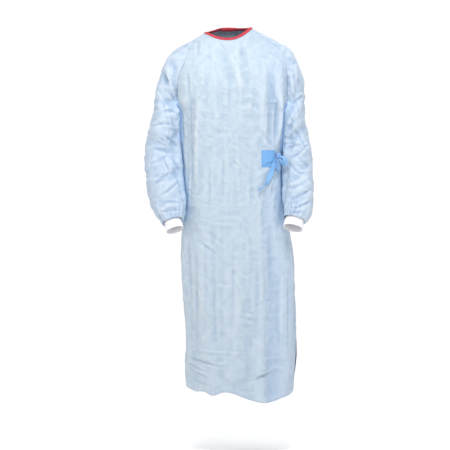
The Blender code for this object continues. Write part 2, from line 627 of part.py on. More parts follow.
def triangles(points, quads):
    """Each quad as two triangles, split along its shorter diagonal."""
    first = np.linalg.norm(points[quads[:, 0]] - points[quads[:, 2]], axis=1)
    second = np.linalg.norm(points[quads[:, 1]] - points[quads[:, 3]], axis=1)
    turned = np.where((first <= second)[:, None], quads, np.roll(quads, -1, axis=1))
    return np.concatenate([turned[:, [0, 1, 2]], turned[:, [0, 2, 3]]])


def wall(points, quads, own, shared, thick, trim=SEAM_GAP / 2):
    """A closed wall: the outer points drawn back from the edges, the inner ones a thickness inside them.

    At a seam the wall's end follows the shared normals, which keeps both pieces clear of each other. In a
    valley, such as the armpit, it keeps the piece's own normals and so its full thickness.
    """
    used, local = np.unique(quads, return_inverse=True)
    outer, quads = points[used].copy(), local.reshape(quads.shape)
    own, shared = own[used], shared[used]
    rim = edges_of(quads)
    inward = np.zeros_like(outer)
    for a, b in rim:
        across = unit(np.cross(own[a] + own[b], outer[b] - outer[a]))
        inward[a] += across
        inward[b] += across
    on_rim = np.unique(rim)
    size = (inward[on_rim] ** 2).sum(axis=1, keepdims=True)
    outer[on_rim] += inward[on_rim] * 2 / np.maximum(size, 1) * trim
    valley = ease((unit(inward) * shared).sum(axis=1, keepdims=True) * 2.5 - 0.6)
    outer[on_rim] -= (own * valley)[on_rim] * trim
    normals = own.copy()
    normals[on_rim] = unit(shared * (1 - valley) + own * valley)[on_rim]
    inner = outer - normals * thick
    count = len(outer)
    split = triangles(outer, quads)  # both faces of the wall are split alike, or they would cross
    faces = [tuple(t) for t in split]
    faces += [tuple(count + t[::-1]) for t in split]
    faces += [(b, a, a + count, b + count) for a, b in rim]
    return np.concatenate([outer, inner]), faces


def add_solid(name, points, faces, finish, smooth=True):
    mesh = bpy.data.meshes.new(name)
    mesh.from_pydata([tuple(map(float, p)) for p in points], [], [tuple(map(int, f)) for f in faces])
    mesh.update()
    mesh.materials.append(finish_of(finish))
    if smooth:
        mesh.shade_smooth()
        mesh.set_sharp_from_angle(angle=math.radians(50))
    made = bpy.data.objects.new(name, mesh)
    bpy.context.scene.collection.objects.link(made)
    return made


class Surface:
    """The outer face of some panels, to lay other pieces on."""

    def __init__(self, points, quads, owners):
        self.points, self.quads, self.owners = points, quads, owners
        self.normals = point_normals(points, quads)
        self.tree = BVHTree.FromPolygons([tuple(p) for p in points], [tuple(map(int, q)) for q in quads])

    def hit(self, start, way):
        """The place where a ray meets the cloth, the cloth's smooth normal there, and the panel."""
        spot, _, face, _ = self.tree.ray_cast(tuple(start), tuple(way))
        spot = np.array(spot)
        corners = self.quads[face]
        weight = 1 / (np.linalg.norm(self.points[corners] - spot, axis=1) + 1e-4)
        return spot, unit((self.normals[corners] * weight[:, None]).sum(axis=0)), self.owners[face]

    def front(self, x, z):
        return self.hit((x, -1, z), (0, 1, 0))

    def round(self, turn, z):
        """Where a level ray towards the body's middle, from that angle round it, meets the cloth."""
        way = np.array([math.sin(turn), -math.cos(turn), 0])
        return self.hit(np.array([MIDDLE_X, 0, z]) + way, -way)


def closed_strip(sections):
    """The faces of a solid whose sections, all of the same corners, follow each other, with an end at both."""
    rows, corners = len(sections), len(sections[0])
    faces = [tuple(range(corners))[::-1]]
    for k in range(rows - 1):
        for c in range(corners):
            d = (c + 1) % corners
            a, b, far_b, far_a = k * corners + c, k * corners + d, (k + 1) * corners + d, (k + 1) * corners + c
            # opposite faces of a thin strip are split alike, or they would cross where it twists
            if c < corners / 2:
                faces += [(a, b, far_b), (a, far_b, far_a)]
            else:
                faces += [(a, b, far_a), (b, far_b, far_a)]
    faces.append(tuple((rows - 1) * corners + c for c in range(corners)))
    points = np.concatenate(sections)
    fans = [(f[0], f[i], f[i + 1]) for f in faces for i in range(1, len(f) - 1)]
    volume = sum(np.dot(points[a], np.cross(points[b], points[c])) for a, b, c in fans)
    return points, faces if volume > 0 else [f[::-1] for f in faces]


def tape_section(edge, below, normal):
    """The folded tape's section over the cloth's edge at one place: two legs, closed over the edge."""
    up = unit(edge - below)
    low, top = TAPE_OVER - TAPE_WIDTH, TAPE_OVER
    steps = (
        (TAPE_OPEN + TAPE_THICK, low), (TAPE_CLEAR + TAPE_THICK, top),
        (-CLOTH - TAPE_CLEAR - TAPE_THICK, top), (-CLOTH - TAPE_OPEN - TAPE_THICK, low),
        (-CLOTH - TAPE_OPEN, low), (-CLOTH - TAPE_CLEAR, TAPE_CLEAR),
        (TAPE_CLEAR, TAPE_CLEAR), (TAPE_OPEN, low),
    )
    return np.array([edge + normal * out + up * along for out, along in steps])


def make_binding(points, normals, tops):
    """The neckline's tape: from the wrap-over back's edge round the front to the other back's edge."""
    runs = [
        tops["back_right"][:, ::-1],
        tops["sleeve_right"][:, ::-1],
        tops["front"],
        tops["sleeve_left"],
        tops["back_left"],
    ]
    order = np.concatenate([runs[0]] + [run[:, 1:] for run in runs[1:]], axis=1)
    sections = [tape_section(points[a], points[b], normals[a]) for a, b in order.T]
    add_solid("neck_binding", *closed_strip(sections), "binding")


def make_cuff(side):
    """A knitted tube, a wall of its own, from the sleeve's gathered end down."""
    cuff = CUFFS[side]
    top, end = np.array(cuff["top"]), np.array(cuff["end"])
    along = unit(end - top)
    outward = np.array([1.0 if side == "left" else -1.0, 0, 0])
    turn = np.linspace(0, 2 * math.pi, CUFF_COLUMNS, endpoint=False)
    rings = []
    for inset in (CUFF_INSET, CUFF_INSET + CUFF_WALL):
        rows = []
        for share in (0, 0.33, 0.66, 1):
            half = [a + (b - a) * share - inset for a, b in zip(cuff["half"], cuff["end_half"], strict=True)]
            rows.append(ring_round(top + along * CUFF_LENGTH * share, along, *half, outward, turn))
        rings.append(rows)
    sections = rings[0] + rings[1][::-1]
    points = np.concatenate(sections)
    count, faces = len(sections), []
    for k in range(count):
        for c in range(CUFF_COLUMNS):
            d = (c + 1) % CUFF_COLUMNS
            ring, after = k * CUFF_COLUMNS, (k + 1) % count * CUFF_COLUMNS
            faces.append((ring + c, ring + d, after + d, after + c))
    middle = top + along * CUFF_LENGTH / 2
    a, b, c, _ = (points[i] for i in faces[0])
    if np.dot(np.cross(b - a, c - a), a - middle) < 0:
        faces = [f[::-1] for f in faces]
    add_solid("cuff_" + side, points, faces, "knit")


def make_patch(surface):
    """The square on the front that holds the tie: the panel's own points, moved out."""
    rows, columns = PATCH["rows"], PATCH["columns"]
    low, high = [], []
    for z in np.linspace(*PATCH["z"], rows + 1):
        for x in np.linspace(*PATCH["x"], columns + 1):
            spot, normal, _ = surface.front(x, z)
            low.append(spot + normal * ON_CLOTH)
            high.append(spot + normal * (ON_CLOTH + PATCH["thick"]))
    index = np.arange(len(low)).reshape(rows + 1, columns + 1)
    quads = np.stack([index[:-1, :-1], index[1:, :-1], index[1:, 1:], index[:-1, 1:]], -1).reshape(-1, 4)
    split = triangles(np.array(low), quads)
    faces = [tuple(t + len(low)) for t in split] + [tuple(t[::-1]) for t in split]
    faces += [(b + len(low), a + len(low), a, b) for a, b in edges_of(quads)]
    add_solid("tie_patch", np.array(low + high), faces, "tie")


def smooth_line(rows, count):
    """A smooth curve through the rows, at even steps."""
    rows = np.array(rows, float)
    keys = np.linspace(0, 1, len(rows))
    table = np.column_stack([keys, rows])
    read_at = read(table, ("key", "a", "b", "c"), np.linspace(0, 1, count))
    return np.stack([read_at["a"], read_at["b"], read_at["c"]], -1)


CORNERS = ((-1, -1), (1, -1), (1, 1), (-1, 1))


def strip_sections(line, outs, wides, halves):
    """Sections of a flat strip along the line, its thickness along outs and its width along wides."""
    halves = np.broadcast_to(halves, len(line))
    half_thick = TIE_THICK / 2
    return [
        np.array([p + w * h * across + o * half_thick * out for across, out in CORNERS])
        for p, o, w, h in zip(line, outs, wides, halves, strict=True)
    ]


def make_belt(surface):
    """The tie from the wrap-over back's free edge, round the wearer's left side to the knot."""
    turns = np.radians(np.linspace(BELT["start"], BELT["end"], BELT["count"]))
    places = [surface.round(turn, BELT["z"]) for turn in turns]
    step_at = min(turn for turn, place in zip(turns, places, strict=True) if place[2] == "back_right")
    line, outs = [], []
    for turn, (spot, normal, panel) in zip(turns, places, strict=True):
        outs.append(unit(normal * [1, 1, 0]))
        step = (LAP_LIFT + CLOTH) * ease((turn - step_at) / BELT["step"] + 1) if panel != "back_right" else 0
        rise = BELT_RISE["lift"] * ease((turns[-1] - turn) / BELT_RISE["turn"] + 1)
        line.append(spot + outs[-1] * (ON_CLOTH + BELT["clear"] + step + rise))
    wides = np.tile([0.0, 0.0, 1.0], (len(line), 1))
    add_solid("belt", *closed_strip(strip_sections(line, outs, wides, BELT["half"])), "tie")


def make_loop(name, surface, rows, count):
    """A loop of the bow, seen through from the front: its strip's width runs out from the cloth."""
    spots = []
    for x, z, out in smooth_line(rows, count):
        spot, _, _ = surface.front(KNOT["x"], z)
        spots.append([x, spot[1] - out, z])
    spots = np.array(spots)
    wides = np.tile([0.0, 1.0, 0.0], (count, 1))
    outs = unit(np.cross(np.gradient(spots, axis=0), wides))
    widths = TIE_WIDTH / 2 * (0.55 + 0.45 * np.sin(np.linspace(0, math.pi, count)))
    add_solid(name, *closed_strip(strip_sections(spots, outs, wides, widths)), "tie")


def make_tail(surface):
    """The free end: flat below the knot, and turned edge-on towards its tip."""
    count = 22
    line, outs, wides = [], [], []
    rows = smooth_line(TAIL, count)
    ways = unit(np.gradient(rows[:, :2], axis=0))
    for k, (x, z, out) in enumerate(rows):
        spot, normal, _ = surface.front(x, z)
        share = k / (count - 1)
        twist = TAIL_TWIST * ease((share - 0.35) / 0.4)
        along = unit(np.array([ways[k][0], 0, ways[k][1]]))
        flat = unit(normal - along * (normal @ along))
        across = np.cross(along, flat)
        width = TIE_WIDTH / 2 * (0.55 + 0.45 * ease(share / 0.2))
        lift = out + math.sin(twist) * width
        line.append(spot + normal * lift)
        wides.append(unit(across * math.cos(twist) + flat * math.sin(twist)))
        outs.append(unit(flat * math.cos(twist) - across * math.sin(twist)))
    widths = TIE_WIDTH / 2 * (0.55 + 0.45 * ease(np.linspace(0, 1, count) / 0.2))
    add_solid("tail", *closed_strip(strip_sections(line, outs, wides, widths)), "tie")


def make_knot(surface):
    """The knot: a lump with the crossing of the tie's turns raised in it."""
    spot, normal, _ = surface.front(KNOT["x"], KNOT["z"])
    centre = spot + normal * KNOT["out"]
    count, rings = KNOT["segments"], KNOT["rings"]
    points = [centre + [0, 0, KNOT["half"][2]]]
    for k in range(1, rings):
        tilt = math.pi * k / rings
        for c in range(count):
            turn = 2 * math.pi * c / count
            way = np.array([math.sin(tilt) * math.cos(turn), math.sin(tilt) * math.sin(turn), math.cos(tilt)])
            across = (way[2] - KNOT_CREASE["slant"] * way[0]) / KNOT_CREASE["half"]
            bulge = 1 - KNOT_CREASE["depth"] * math.exp(-across * across)
            points.append(centre + way * KNOT["half"] * bulge)
    points.append(centre - [0, 0, KNOT["half"][2]])
    faces = [(0, 1 + c, 1 + (c + 1) % count) for c in range(count)]
    for k in range(rings - 2):
        for c in range(count):
            a, b = 1 + k * count + c, 1 + k * count + (c + 1) % count
            faces.append((a, a + count, b + count, b))
    last, base = len(points) - 1, 1 + (rings - 2) * count
    faces += [(last, base + (c + 1) % count, base + c) for c in range(count)]
    add_solid("knot", np.array(points), faces, "tie")


def main():
    clear_scene()
    points, quads, owners, tops = welded(yoke_blocks() + body_blocks() + sleeve_blocks())
    quads = facing_out(points, quads, owners)
    points = folded(points, point_normals(points, quads), part_shares(points, quads, owners))
    shared = point_normals(points, quads)
    for name in PANELS:
        mine = quads[owners == name]
        add_solid(name, *wall(points, mine, point_normals(points, mine), shared, CLOTH), "cloth")
    make_binding(points, shared, tops)
    mine = np.isin(owners, ("front", "back_right", "back_left"))
    body = Surface(points, quads[mine], owners[mine])
    for side in ("right", "left"):
        make_cuff(side)
    make_patch(body)
    make_belt(body)
    make_knot(body)
    make_loop("loop_side", body, LOOP_SIDE, 20)
    make_loop("loop_low", body, LOOP_LOW, 22)
    make_tail(body)


main()
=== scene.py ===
"""The looks of a long surgical gown in light blue nonwoven cloth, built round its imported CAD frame.

Metres, +Z up. The wearer faces -Y, so the wearer's left is +X. The cloth is one fine grid over the same
sections as the frame's solids. Folds and creases move its points, and it is then cut into its sewn panels.
"""

import functools
import math

import bpy
import numpy as np
from mathutils.bvhtree import BVHTree
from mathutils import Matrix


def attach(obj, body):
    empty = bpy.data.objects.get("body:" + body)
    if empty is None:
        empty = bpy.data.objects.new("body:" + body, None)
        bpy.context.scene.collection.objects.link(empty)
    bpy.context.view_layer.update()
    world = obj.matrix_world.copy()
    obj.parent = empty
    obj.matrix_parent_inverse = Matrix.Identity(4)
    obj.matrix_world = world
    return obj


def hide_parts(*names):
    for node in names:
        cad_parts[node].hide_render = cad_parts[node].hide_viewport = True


bl_info = {
    "name": "Surgical gown",
    "version": (1, 0, 0),
    "blender": (4, 5, 0),
    "location": "3D View > Sidebar > Gown",
    "description": "Builds a hollow surgical gown with its binding, cuffs and side tie",
    "category": "Add Mesh",
}

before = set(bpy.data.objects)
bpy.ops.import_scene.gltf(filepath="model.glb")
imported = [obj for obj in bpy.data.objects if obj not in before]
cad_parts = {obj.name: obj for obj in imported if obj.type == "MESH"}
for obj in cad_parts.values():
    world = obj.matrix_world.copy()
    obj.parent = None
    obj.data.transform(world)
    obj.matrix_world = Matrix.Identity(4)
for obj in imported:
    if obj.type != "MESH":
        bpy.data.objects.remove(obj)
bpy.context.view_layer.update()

# Driving sizes, as in the solids
CLOTH = 0.0015  # the solids' wall
ARMPIT_Z = -0.266
LAP_LIFT = 0.0024
UNDER_DIP = 0.0022  # the under layer's, below the lap
LAP_START = math.radians(24)
LAP_EASE = math.radians(20)
LAP_OPEN = {"share": 0.35, "low": 1.4, "z": -1.17, "half": 0.045, "edge": 0.040}  # where its edge stands off
MIDDLE_X = 0.02
TAPE_WIDTH = 0.0110
TAPE_OVER = 0.0022
TAPE_THICK = 0.0007
TAPE_OPEN = 0.0010  # from the cloth to each side of the folded tape
TAPE_BORDER = 0.0016  # from the tape's lower edge to its stitches
CUFF_LENGTH = 0.046
CUFF_INSET = 0.0008
CUFF_WALL = 0.002
PATCH = {"x": (0.118, 0.167), "z": (-0.438, -0.498)}
TIE_WIDTH = 0.017
TIE_THICK = 0.0012
TIE_WAVE = {"length": 0.009, "height": 0.0004, "seed": 3}
ON_CLOTH = 0.0012
STITCH = {"pitch": 0.0032, "length": 0.0024}
PATCH_THICK = 0.0011
PATCH_BORDER = 0.003  # from the patch's edge to its stitches

# The yoke's own measures, in levels of its table
YOKE_LEVELS = 8
SLOPING_LEVELS = 4
DRAWN_FROM = 2.2
LEVEL_RISE = 0.026

# Where sleeves part from the body, and how their rings turn and tilt below it
ARC = {"inset": 0.014, "start": -8, "sweep": 196, "power": 2.3}
SLEEVE_OUTER = {"start": -28, "sweep": 236}
PARTING_DEPTH = 0.10
PARTING_POWER = 2.2
TILT_DEPTH = 0.12

# How many faces each stretch of cloth is made of
YOKE_ROWS = 60
BODY_ROWS = 214
FRONT_COLUMNS = 94
SIDE_COLUMNS = 24
WRAP_COLUMNS = 98
UNDER_COLUMNS = 58
SLEEVE_OUT_COLUMNS = 96
SLEEVE_ROWS = 128
SLEEVE_END_ROWS = 5  # between one ring of the gathered end and the next
BESIDE_SEAM = (0.28, 0.6)  # extra columns beside a seam, in parts of a column

# The turned hem and the free edges
HEM_DEPTH = 0.022
HEM_ROWS = (0.030, 0.0265, 0.0245, 0.0232, 0.0220, 0.0208, 0.0195, 0.0160, 0.0105, 0.0050, 0.0)
HEM_LIFT = 0.0006
HEM_GROOVE = 0.0008
SEAM_DIP = 0.0011
FAR = 1.0  # stands for any distance from an edge too great to matter

YOKE_COLUMNS = (
    "level", "x_right", "z_right", "x_left", "z_left", "y_front", "z_front", "y_back", "z_back", "power",
)
YOKE = (
    (0, -0.080, -0.009, 0.081, 0.008, -0.082, -0.039, 0.070, 0.012, 2.0),
    (1, -0.118, -0.032, 0.130, -0.018, -0.101, -0.071, 0.094, -0.014, 2.0),
    (2, -0.154, -0.052, 0.172, -0.040, -0.115, -0.102, 0.110, -0.046, 2.05),
    (3, -0.192, -0.080, 0.212, -0.062, -0.126, -0.134, 0.120, -0.082, 2.15),
    (4, -0.213, -0.106, 0.239, -0.092, -0.134, -0.162, 0.126, -0.120, 2.3),
    (5, -0.227, -0.142, 0.254, -0.128, -0.140, -0.190, 0.129, -0.158, 2.4),
    (6, -0.239, -0.182, 0.264, -0.170, -0.144, -0.216, 0.130, -0.196, 2.5),
    (7, -0.252, -0.224, 0.270, -0.218, -0.146, -0.242, 0.129, -0.232, 2.55),
    (8, -0.263, -0.266, 0.276, -0.266, -0.147, -0.266, 0.127, -0.266, 2.6),
)

SEAM_COLUMNS = ("level", "front_right", "front_left", "back_right", "back_left", "wrap_edge", "under_edge")
SEAMS = (
    (0, -0.072, 0.071, -0.060, 0.062, 158, 196),
    (1, -0.112, 0.116, -0.088, 0.092, 157, 197),
    (2, -0.133, 0.154, -0.110, 0.120, 156, 198),
    (3, -0.146, 0.188, -0.128, 0.146, 155, 199),
    (4, -0.156, 0.204, -0.144, 0.166, 154, 200),
    (5, -0.166, 0.210, -0.156, 0.180, 153, 201),
    (6, -0.174, 0.212, -0.165, 0.190, 152, 203),
    (7, -0.180, 0.213, -0.172, 0.198, 150, 204),
    (8, -0.184, 0.212, -0.178, 0.204, 148, 205),
)

BODY_COLUMNS = ("drop", "x_right", "x_left", "y_front", "y_back", "power", "wrap_edge", "under_edge")
BODY = (
    (0.266, -0.188, 0.216, -0.147, 0.127, 2.9, 148, 205),
    (0.300, -0.181, 0.207, -0.148, 0.125, 2.8, 145, 206),
    (0.360, -0.176, 0.202, -0.147, 0.121, 2.7, 139, 208),
    (0.460, -0.170, 0.200, -0.144, 0.114, 2.6, 128, 211),
    (0.560, -0.168, 0.207, -0.146, 0.122, 2.5, 120, 213),
    (0.680, -0.163, 0.216, -0.150, 0.138, 2.5, 114, 214),
    (0.800, -0.165, 0.235, -0.152, 0.148, 2.5, 110, 215),
    (0.950, -0.160, 0.240, -0.152, 0.150, 2.5, 107, 215),
    (1.100, -0.151, 0.242, -0.150, 0.152, 2.5, 105, 215),
    (1.220, -0.153, 0.238, -0.150, 0.152, 2.5, 104, 215),
    (1.300, -0.146, 0.233, -0.148, 0.150, 2.5, 104, 215),
    (1.350, -0.142, 0.230, -0.146, 0.149, 2.5, 104, 215),
)

HEM_COLUMNS = ("angle", "drop")
HEM = (
    (-180, 1.300), (-130, 1.292), (-90, 1.282), (-67, 1.280), (-53, 1.291), (-38, 1.292), (-30, 1.303),
    (-16, 1.291), (-6, 1.298), (2, 1.309), (14, 1.321), (26, 1.329), (35, 1.325), (47, 1.313), (60, 1.305),
    (90, 1.303), (130, 1.297), (180, 1.300), (230, 1.292), (270, 1.282),
)

SLEEVE_COLUMNS = ("drop", "x_out", "x_in", "y_mid", "half_depth")
SLEEVES = {
    "right": (
        (0.266, -0.263, -0.188, 0.003, 0.084),
        (0.320, -0.273, -0.184, 0.006, 0.083),
        (0.380, -0.290, -0.180, 0.007, 0.080),
        (0.440, -0.301, -0.176, 0.002, 0.075),
        (0.490, -0.300, -0.175, -0.012, 0.070),
        (0.540, -0.294, -0.174, -0.032, 0.066),
        (0.590, -0.285, -0.170, -0.055, 0.062),
        (0.630, -0.268, -0.163, -0.075, 0.056),
        (0.655, -0.256, -0.157, -0.088, 0.051),
        (0.672, -0.246, -0.155, -0.096, 0.047),
    ),
    "left": (
        (0.266, 0.276, 0.216, 0.003, 0.084),
        (0.320, 0.278, 0.211, 0.006, 0.083),
        (0.380, 0.290, 0.206, 0.007, 0.080),
        (0.440, 0.299, 0.205, 0.000, 0.076),
        (0.490, 0.299, 0.206, -0.018, 0.072),
        (0.540, 0.305, 0.212, -0.043, 0.068),
        (0.590, 0.304, 0.215, -0.072, 0.063),
        (0.630, 0.301, 0.206, -0.096, 0.058),
        (0.652, 0.297, 0.200, -0.110, 0.053),
        (0.668, 0.290, 0.198, -0.118, 0.048),
    ),
}

CUFFS = {
    "right": {
        "top": (-0.2000, -0.103, -0.679), "end": (-0.1870, -0.121, -0.720),
        "half": (0.030, 0.028), "end_half": (0.0325, 0.030),
    },
    "left": {
        "top": (0.2370, -0.126, -0.672), "end": (0.2270, -0.146, -0.714),
        "half": (0.033, 0.030), "end_half": (0.0360, 0.032),
    },
}
SLEEVE_END = ((0.0125, 1.22), (0.0110, 1.08), (0.0020, 1.0))
GATHERS = {"count": 17, "drift": 1.4, "depth": 0.0016, "reach": 0.050}

FOLD_COLUMNS = ("side", "part", "a0", "z0", "a1", "z1", "a2", "z2", "half", "rise")


def in_metres(*runs):
    """Rows in the columns above, from runs of rows in millimetres that share a side and a part."""
    return [(side, part, *(v / 1000 for v in row)) for side, part, rows in runs for row in rows]


# The folds that the solids have, each drawn on one side as a curve from a start through a bend to an end
FOLDS = in_metres(
    ("front", "body", (
        (-36, -62, -12, -130, 22, -220, 30, -8), (12, -76, 28, -140, 46, -240, 30, 6),
        (56, -62, 54, -120, 72, -230, 28, -5), (-78, -60, -92, -130, -100, -200, 30, 5),
        (-128, -215, -138, -320, -140, -500, 28, -12), (-108, -240, -112, -380, -118, -560, 26, 4),
        (184, -100, 184, -280, 174, -450, 24, 13), (150, -130, 152, -280, 158, -440, 26, -10),
        (120, -180, 122, -300, 130, -420, 28, 5), (-52, -640, -60, -900, -46, -1180, 50, -8),
        (30, -700, 26, -950, 20, -1220, 55, 8), (138, -640, 166, -960, 150, -1290, 46, -15),
        (214, -760, 212, -1000, 206, -1290, 36, 10), (-118, -600, -124, -900, -116, -1250, 38, -6),
        (100, -1080, 106, -1200, 112, -1325, 48, 12),
    )),
    ("left", "body", (
        (-40, -480, -30, -860, -36, -1290, 42, -12), (52, -660, 60, -940, 56, -1290, 42, 10),
    )),
    ("right", "body", (
        (-60, -660, -52, -940, -60, -1270, 42, 10), (30, -500, 24, -860, 30, -1270, 44, -12),
    )),
    ("back", "body", (
        (-110, -360, -104, -860, -120, -1290, 46, -14), (-30, -420, -34, -860, -40, -1290, 50, 11),
        (50, -380, 56, -860, 48, -1290, 46, -14), (128, -400, 140, -860, 134, -1290, 44, 10),
        (-60, -60, -80, -160, -96, -280, 34, -8), (60, -60, 84, -160, 104, -280, 34, -8),
    )),
    ("front", "right", (
        (-233, -140, -232, -235, -186, -310, 26, -12), (-198, -95, -200, -190, -182, -280, 22, -7),
        (-214, -100, -218, -190, -200, -270, 22, 6), (-288, -395, -240, -440, -172, -440, 26, -6),
        (-284, -340, -236, -385, -184, -390, 26, 6), (-280, -530, -220, -545, -166, -510, 26, -9),
        (-262, -620, -220, -628, -172, -590, 24, -7), (-284, -470, -230, -495, -168, -470, 26, 7),
    )),
    ("front", "left", (
        (264, -150, 262, -235, 212, -320, 26, -11), (240, -110, 238, -200, 210, -270, 24, 7),
        (284, -330, 250, -385, 210, -420, 26, -10), (296, -400, 262, -455, 212, -490, 26, 7),
        (300, -460, 262, -525, 210, -545, 26, -10), (300, -560, 260, -610, 212, -620, 24, -8),
    )),
    ("back", "right", (
        (-284, -380, -240, -420, -190, -400, 28, -10), (-276, -500, -230, -530, -180, -500, 28, -9),
        (-236, -140, -232, -240, -190, -310, 28, -10),
    )),
    ("back", "left", (
        (292, -380, 256, -420, 214, -400, 28, -10), (298, -500, 260, -540, 214, -510, 28, -9),
        (262, -140, 258, -240, 214, -310, 28, -10),
    )),
)

